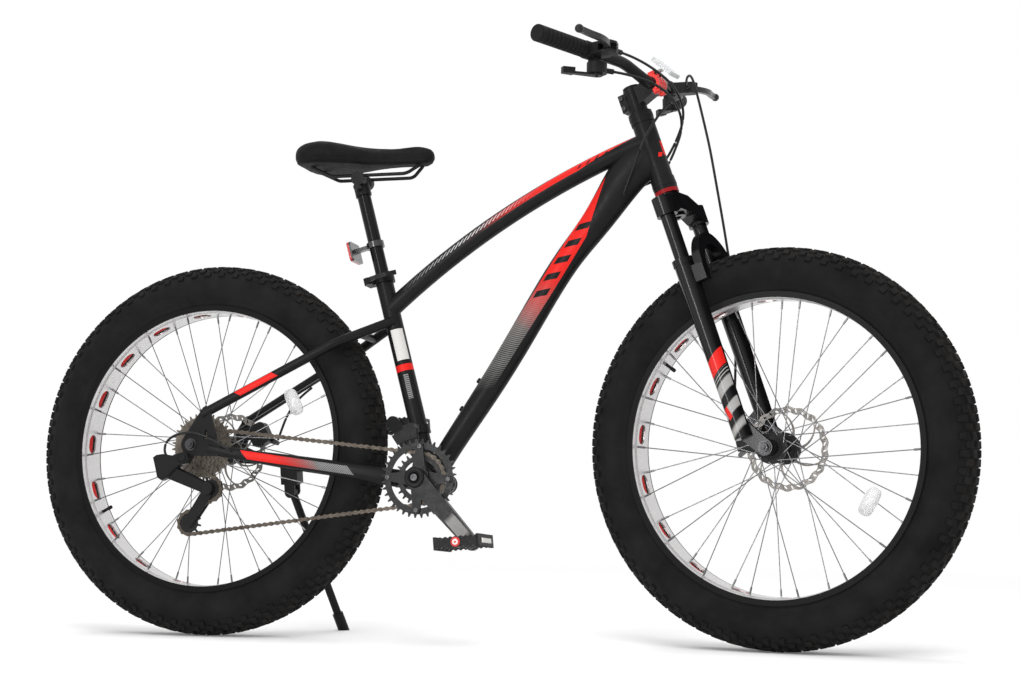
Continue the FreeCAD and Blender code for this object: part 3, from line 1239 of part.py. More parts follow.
def chain_links(cage_angle):
    return sum(stretch[3] for stretch in chain_stretches(cage_angle))


def settled_cage_angle():
    """The cage's spring turns it until a whole even number of links is taut."""
    low, high = -150.0, -95.0
    target = 2 * round(chain_links(CAGE_GUESS) / 2)
    rising = chain_links(high) > chain_links(low)
    for _ in range(60):
        middle = (low + high) / 2
        if (chain_links(middle) < target) == rising:
            low = middle
        else:
            high = middle
    return middle


CAGE_ANGLE = settled_cage_angle()


def roller_places():
    """(x, z) of every roller, one pitch apart along the chain."""
    stretches = chain_stretches(CAGE_ANGLE)
    places = []
    start = 0.0
    for kind, first, second, links in stretches:
        k = math.ceil(start - 1e-9)
        while k < start + links - 1e-9:
            along = (k - start) / links
            if kind == "run":
                (ax, az), (bx, bz) = first, second
                places.append((ax + (bx - ax) * along, az + (bz - az) * along))
            else:
                x, z, r, way = first
                a = second + way * along * arc_angle(first, links)
                places.append((x + r * math.cos(a), z + r * math.sin(a)))
            k += 1
        start += links
    return places


def arc_angle(circle, links):
    """Angle that a round stretch of so many links covers."""
    return 2 * math.asin(PITCH / (2 * circle[2])) * links


def phase_on(centre):
    """Angle of a roller that lies on the wheel at this centre."""
    x, z, r, _ = centre
    near = min(roller_places(), key=lambda p: abs(math.dist(p, (x, z)) - r))
    return math.atan2(near[1] - z, near[0] - x)


def link_plate(y):
    """One side plate of a link, from its first pin at the origin to its second."""
    tip, end = 0.42 * PLATE_HALF, PLATE_HALF
    half = [(-end, tip), (-tip, end), (PITCH + tip, end), (PITCH + end, tip)]
    outline = [(x, -z) for x, z in half] + [(x, z) for x, z in reversed(half)]
    return prism([vec(x, y, z) for x, z in outline], vec(0, PLATE_THICK, 0))


def chain():
    """Every link: inner plates riveted over two rollers, outer plates lapping the links on either side."""
    inner_y = INNER_GAP / 2
    outer_y = inner_y + PLATE_THICK + PLATE_PLAY
    rollers = []
    for x in (0.0, PITCH):
        corners = [vec(x + px, -inner_y, pz) for px, pz in ring_points(6, ROLLER_RADIUS)]
        rollers.append(prism(corners, vec(0, INNER_GAP, 0)))
    inner = fused([link_plate(inner_y), link_plate(-inner_y - PLATE_THICK)] + rollers)
    outer = group([link_plate(outer_y), link_plate(-outer_y - PLATE_THICK)])
    places = roller_places()
    links = []
    for k, (x, z) in enumerate(places):
        nx, nz = places[(k + 1) % len(places)]
        turn = FreeCAD.Rotation(Y_AXIS, -math.degrees(math.atan2(nz - z, nx - x)))
        links.append(moved(outer if k % 2 else inner, FreeCAD.Placement(vec(x, -CHAIN_LINE, z), turn)))
    return group(links)


def cassette():
    """Nine cogs with their collars on the freehub body, and the lockring outside them."""
    phase = phase_on(chain_circles(CAGE_ANGLE)[0][0])
    solids = []
    for i, teeth in enumerate(COG_TEETH):
        y = -CHAIN_LINE - (i - CHAIN_COG) * COG_STEP
        plate = sprocket(teeth, y - SPROCKET_THICK / 2, y + SPROCKET_THICK / 2,
                         FREEHUB_RADIUS + RUNNING, phase)
        collar = sleeve(vec(0, y + SPROCKET_THICK / 2, 0), vec(0, y - SPROCKET_THICK / 2 + COG_STEP, 0),
                        COG_COLLAR_RADIUS, FREEHUB_RADIUS + RUNNING)
        solids.append(plate.fuse(collar))
    inner = -CHAIN_LINE + CHAIN_COG * COG_STEP + COG_STEP
    outer = -CHAIN_LINE - (len(COG_TEETH) - 1 - CHAIN_COG) * COG_STEP - SPROCKET_THICK / 2
    end = -REAR_HUB_WIDTH / 2 + SEATED
    body = turned([
        (inner, AXLE_RADIUS + RUNNING), (inner, FREEHUB_RADIUS), (outer, FREEHUB_RADIUS),
        (outer, COG_COLLAR_RADIUS), (outer - 3, COG_COLLAR_RADIUS), (outer - 3, HUB_END_RADIUS),
        (end, HUB_END_RADIUS), (end, AXLE_RADIUS + RUNNING),
    ])
    return moved(group(solids + [body]), REAR_AXLE)


def cassette_face():
    """Where the hub shell ends and the freehub begins."""
    return -CHAIN_LINE + CHAIN_COG * COG_STEP + COG_STEP + SEATED


def chainrings():
    """Inner ring with its spacer posts, and the outer ring, both bolted to the spider."""
    phase = phase_on(chain_circles(CAGE_ANGLE)[0][1])
    outer_y = -CHAIN_LINE - OUTER_RING_STEP
    face = outer_y - OUTER_RING_THICK / 2
    inner = sprocket(RING_TEETH, -CHAIN_LINE - SPROCKET_THICK / 2, -CHAIN_LINE + SPROCKET_THICK / 2,
                     INNER_RING_BORE, phase)
    posts = [rod(vec(x, -CHAIN_LINE, z), vec(x, face, z), 4.0)
             for x, z in ring_points(SPIDER_ARMS, INNER_BOLT_RADIUS, SPIDER_TURN)]
    outer = sprocket(OUTER_RING_TEETH, face, outer_y + OUTER_RING_THICK / 2, OUTER_RING_BORE, phase)
    return moved(group([fused([inner] + posts), outer]), BRACKET)


def crank_tip(side):
    """(x, z) of the pedal axle from the crank spindle; the left crank is opposite."""
    a = math.radians(CRANK_ANGLE + (0.0 if side < 0 else 180.0))
    return CRANK_LENGTH * math.cos(a), CRANK_LENGTH * math.sin(a)


def crank_arms():
    """Spindle, both crank arms, the right one with its spider, and the two pedal axles."""
    face = -CHAIN_LINE - OUTER_RING_STEP - OUTER_RING_THICK / 2
    end = CRANK_INNER_Y + CRANK_THICK
    spindle = rod(vec(0, -end + 2, 0), vec(0, end - 2, 0), SPINDLE_RADIUS)
    solids = [spindle]
    for side in (-1, 1):
        tip = crank_tip(side)
        arm = [web((0, 0, 19), (*tip, 13), side * CRANK_INNER_Y, side * end)]
        if side < 0:
            arm.append(rod(vec(0, face, 0), vec(0, -CRANK_INNER_Y, 0), 24.0))
            for x, z in ring_points(SPIDER_ARMS, OUTER_RING_BORE + 4, SPIDER_TURN):
                arm.append(web((0, 0, 16), (x, z, 7), face, face - 5))
        axle_end = end + PEDAL_WIDTH + 3
        pedal_axle = rod(vec(tip[0], side * CRANK_INNER_Y, tip[1]), vec(tip[0], side * axle_end, tip[1]),
                         PEDAL_AXLE_RADIUS)
        socket = rod(vec(0, -end - SPILL, 0), vec(0, end - 2, 0), SPINDLE_RADIUS)
        if side < 0:
            socket = rod(vec(0, -end + 2, 0), vec(0, end, 0), SPINDLE_RADIUS)
        solids.append(fused(arm).cut(socket).cut(pedal_axle))
        solids.append(pedal_axle)
    return moved(group(solids), BRACKET)


def pedal(side):
    """Open platform pedal: a barrel on the axle, front and back bars, and three ribs."""
    start = CRANK_INNER_Y + CRANK_THICK + 1.5
    half = PEDAL_LENGTH / 2
    barrel = rod(vec(0, start, 0), vec(0, start + PEDAL_WIDTH, 0), PEDAL_BARREL_RADIUS)
    solids = [barrel]
    for x in (-half, half - 13):
        bar = Part.makeBox(13, PEDAL_WIDTH, PEDAL_THICK, vec(x, start, -PEDAL_THICK / 2))
        long_edges = [edge for edge in bar.Edges if abs(edge.tangentAt(edge.FirstParameter).y) > 0.9]
        solids.append(bar.makeFillet(4.0, long_edges))
    for share in (0.0, 0.45, 0.9):
        solids.append(Part.makeBox(PEDAL_LENGTH - 8, 0.1 * PEDAL_WIDTH, PEDAL_THICK - 4,
                                   vec(-half + 4, start + share * PEDAL_WIDTH, 2 - PEDAL_THICK / 2)))
    bore = rod(vec(0, start - SPILL, 0), vec(0, start + PEDAL_WIDTH + 2, 0), PEDAL_AXLE_RADIUS + RUNNING)
    body = fused(solids).cut(bore)
    x, z = crank_tip(side)
    spot = FreeCAD.Placement(vec(x, 0, z), FreeCAD.Rotation(Y_AXIS, PEDAL_TILT))
    return moved(moved(mirrored(body) if side < 0 else body, spot), BRACKET)


# Derailleurs

def sector(r_from, r_to, a_from, a_to, y_from, y_to):
    """Plate between two arcs about the y axis."""
    def at(r, a):
        return vec(r * math.cos(math.radians(a)), y_from, r * math.sin(math.radians(a)))

    a_mid = (a_from + a_to) / 2
    edges = [
        Part.Arc(at(r_to, a_from), at(r_to, a_mid), at(r_to, a_to)).toShape(),
        Part.LineSegment(at(r_to, a_to), at(r_from, a_to)).toShape(),
        Part.Arc(at(r_from, a_to), at(r_from, a_mid), at(r_from, a_from)).toShape(),
        Part.LineSegment(at(r_from, a_from), at(r_to, a_from)).toShape(),
    ]
    return Part.Face(Part.Wire(edges)).extrude(vec(0, y_to - y_from, 0))


def front_cage_faces():
    """y of the front derailleur's inner and outer plates, on their outer faces."""
    return -CHAIN_LINE + 7.6, -CHAIN_LINE - 6.0


def front_derailleur_cage():
    """Two plates round the chain over the rings, joined along the top and at the tail."""
    inner_y, outer_y = front_cage_faces()
    start, end = FRONT_CAGE_ARC
    over_ring = pitch_radius(OUTER_RING_TEETH) + TOOTH_TIP + 3
    inner = sector(pitch_radius(RING_TEETH) + 9, FRONT_CAGE_TOP, start, end, inner_y, inner_y - CAGE_PLATE)
    outer = sector(over_ring, FRONT_CAGE_TOP, start, end, outer_y, outer_y + CAGE_PLATE)
    roof = sector(FRONT_CAGE_TOP - 2, FRONT_CAGE_TOP, start, end, inner_y, outer_y)
    tail = sector(over_ring + 3, FRONT_CAGE_TOP, end - 2, end, inner_y, outer_y)
    return moved(fused([inner, outer, roof, tail]), BRACKET)


def front_derailleur():
    """Band round the seat tube and the body that carries the cage."""
    band = sleeve(vec(0, 0, BAND_HEIGHT - 8), vec(0, 0, BAND_HEIGHT + 8),
                  SEAT_TUBE_RADIUS + 4, SEAT_TUBE_RADIUS)
    end = front_cage_faces()[0] + SEATED
    body = Part.makeBox(24, -end - SEAT_TUBE_RADIUS + 4, 18, vec(-14, end, BAND_HEIGHT - 9))
    long_edges = [edge for edge in body.Edges if abs(edge.tangentAt(edge.FirstParameter).y) > 0.9]
    body = body.makeFillet(5.0, long_edges)
    bore = rod(vec(0, 0, 0), vec(0, 0, SEAT_TUBE_LENGTH), SEAT_TUBE_RADIUS)
    return moved(fused([band, body]).cut(bore), SEAT_FRAME)


def knuckle_faces():
    """y of the lower knuckle's inner and outer ends."""
    inner = -CHAIN_LINE - CAGE_HALF - CAGE_PLATE - SEATED
    return inner, inner - KNUCKLE_LENGTH


def rear_derailleur():
    """Upper knuckle on the hanger."""
    x, z = hanger_place()
    face = -REAR_HUB_WIDTH / 2 - DROPOUT_THICK
    body = rod(vec(x, face, z), vec(x, face - KNUCKLE_LENGTH, z), HANGER_KNUCKLE_RADIUS)
    bolt = rod(vec(x, face - KNUCKLE_LENGTH, z), vec(x, face - KNUCKLE_LENGTH - 3, z), 7.0)
    return body.fuse(bolt).removeSplitter()


def derailleur_links():
    """The two parallel links between the knuckles."""
    hx, hz = hanger_place()
    top = vec(hx, -(REAR_HUB_WIDTH / 2 + DROPOUT_THICK + KNUCKLE_LENGTH / 2), hz)
    low = vec(GUIDE_X, sum(knuckle_faces()) / 2, AXLE_Z - GUIDE_DROP)
    flat = vec(low.x - top.x, 0, low.z - top.z).normalize()
    across = flat.cross(Y_AXIS)
    half = LINK_THICK / 2
    near = LINK_ACROSS - half
    start = top + flat * math.sqrt((HANGER_KNUCKLE_RADIUS + SEATED) ** 2 - near ** 2)
    end = low - flat * math.sqrt((CAGE_KNUCKLE_RADIUS + SEATED) ** 2 - near ** 2)
    links = []
    for shift in (-LINK_ACROSS, LINK_ACROSS):
        corners = [place + across * (shift - half) for place in (start, end)]
        corners += [place + across * (shift + half) for place in (end, start)]
        lower = vec(0, LINK_WIDTH / 2, 0)
        links.append(prism([corner - lower for corner in corners], lower * 2))
    return group(links)


def derailleur_knuckle():
    """Lower knuckle, which shifts across the cogs with the cage turning in it."""
    inner, outer = knuckle_faces()
    z = AXLE_Z - GUIDE_DROP
    body = rod(vec(GUIDE_X, inner, z), vec(GUIDE_X, outer, z), CAGE_KNUCKLE_RADIUS)
    hole = rod(vec(GUIDE_X, inner + SPILL, z), vec(GUIDE_X, inner - 12, z), CAGE_PIVOT_RADIUS + RUNNING)
    return body.cut(hole)


def tension_place():
    x, z, _, _ = chain_circles(CAGE_ANGLE)[0][2]
    return x, z


def derailleur_cage():
    """Two plates that hold the pulleys, their pins, and the stub that turns in the knuckle."""
    inner_knuckle = knuckle_faces()[0]
    guide = (GUIDE_X, AXLE_Z - GUIDE_DROP)
    tension = tension_place()
    solids = []
    for face, way in ((-CHAIN_LINE - CAGE_HALF, -1), (-CHAIN_LINE + CAGE_HALF, 1)):
        solids.append(web((*guide, 12), (*tension, 10), face, face + way * CAGE_PLATE))
    for x, z in (guide, tension):
        solids.append(rod(vec(x, -CHAIN_LINE - CAGE_HALF, z), vec(x, -CHAIN_LINE + CAGE_HALF, z),
                          PULLEY_PIN_RADIUS))
    solids.append(rod(vec(guide[0], -CHAIN_LINE - CAGE_HALF, guide[1]),
                      vec(guide[0], inner_knuckle - 11, guide[1]), CAGE_PIVOT_RADIUS))
    return fused(solids)


def jockey(index):
    """Pulley on its pin, with a hub that fills the cage."""
    circle = chain_circles(CAGE_ANGLE)[0][index]
    plate = sprocket(PULLEY_TEETH, -CHAIN_LINE - PULLEY_THICK / 2, -CHAIN_LINE + PULLEY_THICK / 2,
                     PULLEY_PIN_RADIUS + RUNNING, phase_on(circle))
    half = CAGE_HALF - SEATED
    boss = sleeve(vec(0, -CHAIN_LINE - half, 0), vec(0, -CHAIN_LINE + half, 0), 7.0,
                  PULLEY_PIN_RADIUS + RUNNING)
    return moved(fused([plate, boss]), FreeCAD.Placement(vec(circle[0], 0, circle[1]), FreeCAD.Rotation()))


# Kickstand

def kickstand_bracket():
    """Block clamped under the left chain stay, with two ears and the kickstand's pin."""
    near = STAND_BARREL_HALF + SEATED
    far = near + STAND_EAR
    solids = [Part.makeBox(STAND_BLOCK, 2 * far, STAND_BLOCK_TOP - STAND_BLOCK_FOOT,
                           vec(-STAND_BLOCK / 2, -far, STAND_BLOCK_FOOT))]
    for y_from, y_to in ((near, far), (-near, -far)):
        solids.append(web((0, 0, STAND_EAR_RADIUS), (0, STAND_BLOCK_FOOT + 8, STAND_EAR_RADIUS),
                          y_from, y_to))
    solids.append(rod(vec(0, -far, 0), vec(0, far, 0), STAND_PIN_RADIUS))
    return main_solid(moved(fused(solids), STAND_FRAME).cut(oval_loft(chain_stay_stations(), -SEATED)))


def kickstand_leg():
    """Leg with its hinge barrel and a rubber shod foot, longer than needed until the ground trims it."""
    half = vec(0, STAND_BARREL_HALF, 0)
    barrel = moved(sleeve(half * -1, half, STAND_BARREL_RADIUS, STAND_PIN_RADIUS + RUNNING), STAND_FRAME)
    foot = vec(STAND_FOOT_X, STAND_FOOT_Y, 0)
    start = STAND_FRAME.Base
    along = (foot - start).normalize()
    past = foot + along * 6 * SPILL
    leg = rod(start, past, STAND_RADIUS)
    shoe = rod(foot - along * STAND_SHOE, past, STAND_RADIUS + STAND_SHOE_THICK)
    pin = moved(rod(half * -2, half * 2, STAND_PIN_RADIUS + RUNNING), STAND_FRAME)
    return fused([barrel, leg, shoe]).cut(pin)


# Cables, held all the way between their ends

def on_bar(side, x, y, z):
    """A point beside the right (-1) or left (1) control unit, on the steering's own axes."""
    place = control_frame().multVec(vec(x, y, z))
    return vec(place.x, -side * place.y, place.z)


def control_cables():
    """Housings from the bar into the frame, and the two that leave it again at the back."""
    def bar(side, x, y, z):
        return STEERED.multVec(on_bar(side, x, y, z))

    def stem_side(*places):
        return [STEERED.multVec(vec(*place)) for place in places]

    def head_side(*places):
        return [HEAD_FRAME.multVec(vec(*place)) for place in places]

    outlet = (SHIFTER_OUTLET - SHIFTER_FROM_PERCH - SEATED, 16.1, -SHIFTER_DROP)
    away = (outlet[0] - 34, 30, -SHIFTER_DROP)
    rear_brake = [bar(-1, ADJUSTER_END - SEATED, ADJUSTER_REACH, 0),
                  bar(-1, ADJUSTER_END - 36, ADJUSTER_REACH + 2, 0)]
    rear_brake += stem_side((84, -62, 186), (88, -4, 160), (72, 44, 122), (32, 50, 80))
    rear_brake += head_side((4, 40, 48), (-24, 29, 36), (-50, 24.2, 34))
    rear_gear = [bar(-1, *outlet), bar(-1, *away)]
    rear_gear += stem_side((74, -62, 164), (79, -6, 138), (62, 42, 104), (26, 46, 64))
    rear_gear += head_side((2, 38, 32), (-24, 28.5, 20), (-46, 24.2, 20))
    front_gear = [bar(1, *outlet), bar(1, *away)]
    front_gear += stem_side((74, 66, 166), (75, 8, 150), (58, -36, 126), (18, -46, 94))
    front_gear += head_side((-22, -40, 64), (-52, -29, 30), (-78, -24.4, 2))
    gear_tail = [vec(88, -102.6, 358), vec(36, -111, 391), vec(-12, -115, 396), vec(-48, -115, 380),
                 vec(-52, -113, 352), vec(-34, -112, 342), vec(-19.4, -112, 343)]
    brake_tail = [vec(175.9, 78, 503.1), vec(140, 88, 481), vec(116, 93, 446), vec(104, 93, 412),
                  vec(99.43, 92, 397.3)]
    routes = (rear_brake, rear_gear, front_gear, gear_tail, brake_tail)
    return group([bent_rod(route, CABLE_RADIUS) for route in routes])


def front_brake_cable():
    """Housing from the left lever, down past the crown and round the left leg to the front caliper."""
    route = [on_bar(1, ADJUSTER_END - SEATED, ADJUSTER_REACH, 0)]
    for place in ((72, 130, 222), (92, 104, 214), (96, 86, 170), (92, 80, 110), (86, 78, 50), (74, 84, -10),
                  (60, 96, -70), (46, 106, -130), (34, 108, -190), (20, 107, -250), (2, 104, -310),
                  (-18, 98, -370), (-36, 88, -425), (-47, 74, -475), (-51, 65, -505), (-51.5, 63.8, -523.3)):
        route.append(vec(*place))
    return bent_rod(route, CABLE_RADIUS)


# Stance

def tyre_low(placement, centre, axis):
    """Height of a tyre's lowest point, from its tread's rounding."""
    sagitta, half = SHOULDER_DROP, SHOULDER_HALF
    rounding = (half ** 2 + sagitta ** 2) / (2 * sagitta)
    axis = placement.Rotation.multVec(axis)
    lift = (TYRE_RADIUS - rounding) * math.sqrt(1 - axis.z ** 2) + rounding
    return placement.multVec(centre).z - lift


def stance():
    """The whole bicycle leaned to the left until its kickstand meets the ground, with both tyres on it."""
    lean = FreeCAD.Rotation(vec(1, 0, 0), -STAND_LEAN)
    front = STEERED.multVec(vec(FORK_OFFSET, 0, AXLE_DOWN))
    front_axis = STEERED.Rotation.multVec(Y_AXIS)
    pitch = 0.0
    for _ in range(8):
        turn = FreeCAD.Placement(vec(0, 0, 0), FreeCAD.Rotation(Y_AXIS, pitch).multiply(lean))
        rear_z = tyre_low(turn, vec(0, 0, AXLE_Z), Y_AXIS)
        front_z = tyre_low(turn, front, front_axis)
        pitch += math.degrees(math.atan2(front_z - rear_z, front.x))
    turn.Base = vec(0, 0, -rear_z)
    return turn


# Assembly

def steering_pieces():
    """Pieces drawn along the steering axis, before steering."""
    half = FRONT_HUB_WIDTH / 2
    return {
        "fork_crown": fork_crown(), "headset_covers": headset_covers(), "stem": stem(),
        "stem_faceplate": stem_faceplate(), "handlebar": handlebar(), "grips": grips(),
        "control_units": group(both_sides(control_unit())), "front_reflector": front_reflector(),
        "front_brake_cable": front_brake_cable(),
        "brake_lever_right": brake_lever(), "brake_lever_left": mirrored(brake_lever()),
        "shift_lever_right": shift_lever(), "shift_lever_left": mirrored(shift_lever()),
        "fork_lowers": fork_lowers(), "front_axle": moved(axle(FRONT_HUB_WIDTH, FRONT_DROPOUT), FRONT_AXLE),
        "front_caliper": moved(caliper(CALIPER_ANGLE_FRONT, FRONT_ROTOR_Y, BRAKE_TAB_Y), FRONT_AXLE),
        "front_caliper_arm": moved(caliper_arm(CALIPER_ANGLE_FRONT, FRONT_ROTOR_Y, FRONT_ARM_HEADING),
                                   FRONT_AXLE),
        "front_tyre": moved(tyre(), FRONT_WHEEL), "front_rim": moved(rim(), FRONT_WHEEL),
        "front_spokes": moved(laced_spokes(FRONT_FLANGES), FRONT_WHEEL),
        "front_hub": moved(hub(FRONT_FLANGES, -half + SEATED, half - SEATED, FRONT_ROTOR_Y), FRONT_WHEEL),
        "front_rotor": moved(rotor(FRONT_ROTOR_Y), FRONT_WHEEL),
    }


def frame_pieces():
    """Pieces drawn in the upright frame."""
    return {
        "head_tube": head_tube(), "top_tube": top_tube(), "down_tube": down_tube(), "seat_tube": seat_tube(),
        "rear_triangle": rear_triangle(), "headset_cups": headset_cups(), "bottom_bracket": bottom_bracket(),
        "seat_collar": seat_collar(), "seat_collar_lever": seat_collar_lever(), "seat_post": seat_post(),
        "saddle": saddle(), "saddle_rails": saddle_rails(), "tail_reflector": tail_reflector(),
        "rear_axle": moved(axle(REAR_HUB_WIDTH, DROPOUT_THICK), REAR_AXLE),
        "rear_caliper": moved(caliper(CALIPER_ANGLE_REAR, REAR_ROTOR_Y, REAR_HUB_WIDTH / 2), REAR_AXLE),
        "rear_caliper_arm": moved(caliper_arm(CALIPER_ANGLE_REAR, REAR_ROTOR_Y, REAR_ARM_HEADING),
                                  REAR_AXLE),
        "rear_tyre": moved(tyre(), REAR_WHEEL), "rear_rim": moved(rim(), REAR_WHEEL),
        "rear_spokes": moved(laced_spokes(REAR_FLANGES), REAR_WHEEL),
        "rear_hub": moved(hub(REAR_FLANGES, cassette_face(), REAR_HUB_WIDTH / 2 - SEATED, REAR_ROTOR_Y),
                          REAR_WHEEL),
        "rear_rotor": moved(rotor(REAR_ROTOR_Y), REAR_WHEEL),
        "cassette": cassette(), "chain": chain(), "chainrings": chainrings(), "crank_arms": crank_arms(),
        "pedal_right": pedal(-1), "pedal_left": pedal(1),
        "front_derailleur": front_derailleur(), "front_derailleur_cage": front_derailleur_cage(),
        "rear_derailleur": rear_derailleur(), "derailleur_links": derailleur_links(),
        "derailleur_knuckle": derailleur_knuckle(), "derailleur_cage": derailleur_cage(),
        "jockey_upper": jockey(3), "jockey_lower": jockey(2),
        "kickstand_bracket": kickstand_bracket(), "kickstand_leg": kickstand_leg(),
        "control_cables": control_cables(),
    }


def standing_pieces():
    """Every piece where it stands, and the placement that took it from the upright frame."""
    ground = stance()
    pieces = {name: moved(shape, ground) for name, shape in frame_pieces().items()}
    for name, shape in steering_pieces().items():
        pieces[name] = moved(shape, ground.multiply(STEERED))
    soil = Part.makeBox(4000, 4000, 200, vec(-2000, -2000, -200))
    pieces["kickstand_leg"] = main_solid(pieces["kickstand_leg"].cut(soil))
    extent = Part.makeCompound(list(pieces.values())).optimalBoundingBox(False)
    shift = FreeCAD.Placement(vec(-extent.Center.x, -extent.Center.y, 0), FreeCAD.Rotation())
    return {name: moved(shape, shift) for name, shape in pieces.items()}, shift.multiply(ground)


def main():
    os.makedirs("parts", exist_ok=True)
    pieces, _ = standing_pieces()
    for name, shape in sorted(pieces.items()):
        shape.exportStep(os.path.join("parts", name + ".step"))
        print(name, len(shape.Solids), round(shape.Volume), shape.isValid())


if __name__ == "__main__":
    main()
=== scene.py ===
"""Looks of the fat tyre bicycle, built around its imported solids.

Places are written in millimetres on the part's own axes: `design` is the upright frame with the rear axle
above its origin, `steer` runs along the steering axis from the foot of the head tube, and a wheel's own axes
have y along its axle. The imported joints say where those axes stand, and the photograph where panels and small
pieces lie on them.
"""
import json
import math
from functools import reduce

import bmesh
import bpy
from mathutils import Matrix, Vector


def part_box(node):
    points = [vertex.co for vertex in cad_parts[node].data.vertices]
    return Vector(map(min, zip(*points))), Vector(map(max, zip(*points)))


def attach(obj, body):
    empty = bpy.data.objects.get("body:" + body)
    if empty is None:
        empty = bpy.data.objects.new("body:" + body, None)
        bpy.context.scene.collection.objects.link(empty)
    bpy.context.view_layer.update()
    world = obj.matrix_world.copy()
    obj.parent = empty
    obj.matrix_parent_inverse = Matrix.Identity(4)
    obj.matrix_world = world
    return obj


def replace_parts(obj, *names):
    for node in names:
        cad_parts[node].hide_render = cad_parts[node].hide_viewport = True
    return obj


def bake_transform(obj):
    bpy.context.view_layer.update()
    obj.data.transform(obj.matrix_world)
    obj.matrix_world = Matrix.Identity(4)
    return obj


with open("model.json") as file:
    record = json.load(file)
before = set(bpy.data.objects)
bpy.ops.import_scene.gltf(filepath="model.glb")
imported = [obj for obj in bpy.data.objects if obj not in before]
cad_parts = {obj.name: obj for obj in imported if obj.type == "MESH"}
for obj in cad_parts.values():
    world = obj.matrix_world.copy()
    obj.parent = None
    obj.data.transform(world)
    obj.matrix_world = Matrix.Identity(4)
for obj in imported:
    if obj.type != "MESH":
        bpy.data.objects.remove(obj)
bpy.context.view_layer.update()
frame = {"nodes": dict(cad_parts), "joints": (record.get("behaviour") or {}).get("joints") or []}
scene = bpy.context.scene
joints = {joint["name"]: joint for joint in frame["joints"]}
MM = 0.001

# Sizes shared with the solids
AXLE_HEIGHT = 372.0
CHAINSTAY = 472.0
BRACKET_DROP = 63.0
BRACKET_X = math.sqrt(CHAINSTAY ** 2 - BRACKET_DROP ** 2)
BRACKET_Z = AXLE_HEIGHT - BRACKET_DROP
SEAT_LEAN = 15.8
HEAD_TILT = 19.3
DOWN_TUBE_END_X = 796.0
DOWN_TUBE_END_Z = 836.0
REAR_PHASE = 232.0
FRONT_PHASE = 296.0 + HEAD_TILT
TYRE_RADIUS = 372.0
SHOULDER_DROP = 23.0
BEAD = 279.8
RIM_HALF = 40.0
ROTOR_Y = {"front": 52.0, "rear": 80.0}
CABLE = 2.5
BAR_FORWARD = 46.0
BAR_HEIGHT = 190.0
BAR_BEND = Vector((BAR_FORWARD - 12.0, -95.0, BAR_HEIGHT + 32.0))
BAR_END = Vector((BAR_FORWARD - 66.0, -335.0, BAR_HEIGHT + 64.0))
CONTROL_INSET = 139.0
LEVER_DROOP = 20.0
PITCH = 12.7
CHAIN_Y = -66.0
CRANK_ANGLE = -46.5
CRANK_LENGTH = 170.0

# Cog, chainring, tension pulley and guide pulley, in the order and the way that the chain runs round them
WHEELS_OF_CHAIN = (("rear_wheel_spin", 18, -1), ("crank_turn", 24, -1), ("tension_pulley_spin", 11, -1),
                   ("guide_pulley_spin", 11, 1))
# Where the low run of the chain is split: behind this place it runs towards the swinging cage
CAGE_REACH = 200.0

# Tread: each row of blocks has its tilt from the middle, length, width, share of a pitch and turn
TREAD_ARC = 51.7
TREAD_CENTRE = TYRE_RADIUS - TREAD_ARC
CASING_DROP = 3.8
KNOB_ROOT = 2.0
KNOB_SHY = 0.3
KNOB_CHAMFER = 0.8
KNOB_FLARE = 1.08
KNOB_PITCHES = 72
KNOB_ROWS = ((7.5, 12.0, 13.4, 0.25, 7.0), (22.5, 11.6, 13.4, 0.75, -7.0), (37.5, 12.0, 12.6, 0.25, 7.0),
             (52.5, 11.0, 11.5, 0.75, 0.0))

# Small pieces on the wheels
STRIP_HALF = 20.0
STRIP_RADIUS = 277.6
STRIP_TOP = 278.2
VALVE_TURN = 10.0
VALVE_RADIUS = 277.3
REFLECTOR_TURN = {"front": 182.6, "rear": 191.6}
REFLECTOR_RADIUS = 204.0
REFLECTOR_Y = -26.0
ROTOR_WAVES = 18
ROTOR_ARMS = 6
ROTOR_SCREWS = 22.0
CARRIER_HALF = 0.9

# Small pieces on the drive
PEDAL_TILT = -6.0
RING_BOLTS = 61.0
RING_BOLTS_Y = -79.7

# Saddle cover, in height on the upright axes
SADDLE_FLOOR = 938.0
SADDLE_SEAM = 947.5
SEAM_HALF = 3.0
SEAM_DEPTH = 0.9
SWELL_LIMIT = 4.0
SWELL_FRAMES = 20

# The photograph's camera, fitted to the wheels and frame on the upright axes
EYE = (1704.174, -3524.408, 71.431)
EYE_TURN, EYE_PITCH, EYE_ROLL = 0.2983629, -0.1378704, 0.0242563
FOCAL_PIXELS = 1919.666
PHOTO_WIDTH = 1020.0
SENSOR = 36.0


# Axes

def axes(origin, x, y, z):
    return Matrix.Translation(origin) @ Matrix((x, y, z)).transposed().to_4x4()


def mm(x, y, z):
    """A place in metres from its millimetres."""
    return Vector((x * MM, y * MM, z * MM))


def shift(x, y, z):
    return Matrix.Translation(mm(x, y, z))


def spin(degrees, axis="Y"):
    return Matrix.Rotation(math.radians(degrees), 4, axis)


def turns(count):
    """Angles evenly round a circle."""
    return [2 * math.pi * k / count for k in range(count)]


def joint_axis(name):
    return Vector(joints[name]["axis"]).normalized()


def joint_place(name):
    return Vector(joints[name]["pos_m"])


def design_axes():
    """The upright frame, from the rear axle and the crank."""
    y = joint_axis("rear_wheel_spin")
    back = joint_place("rear_wheel_spin")
    along = (joint_place("crank_turn") - back).normalized()
    rise = along.cross(y)
    c, s = BRACKET_X / CHAINSTAY, BRACKET_DROP / CHAINSTAY
    x = c * along + s * rise
    z = c * rise - s * along
    return axes(back - z * AXLE_HEIGHT * MM, x, y, z)


def steering_axes():
    """The steering axis, as it stands, from its own joint and the front axle."""
    z = joint_axis("steering_turn")
    y = joint_axis("front_wheel_spin")
    return axes(joint_place("steering_turn"), y.cross(z), y, z)


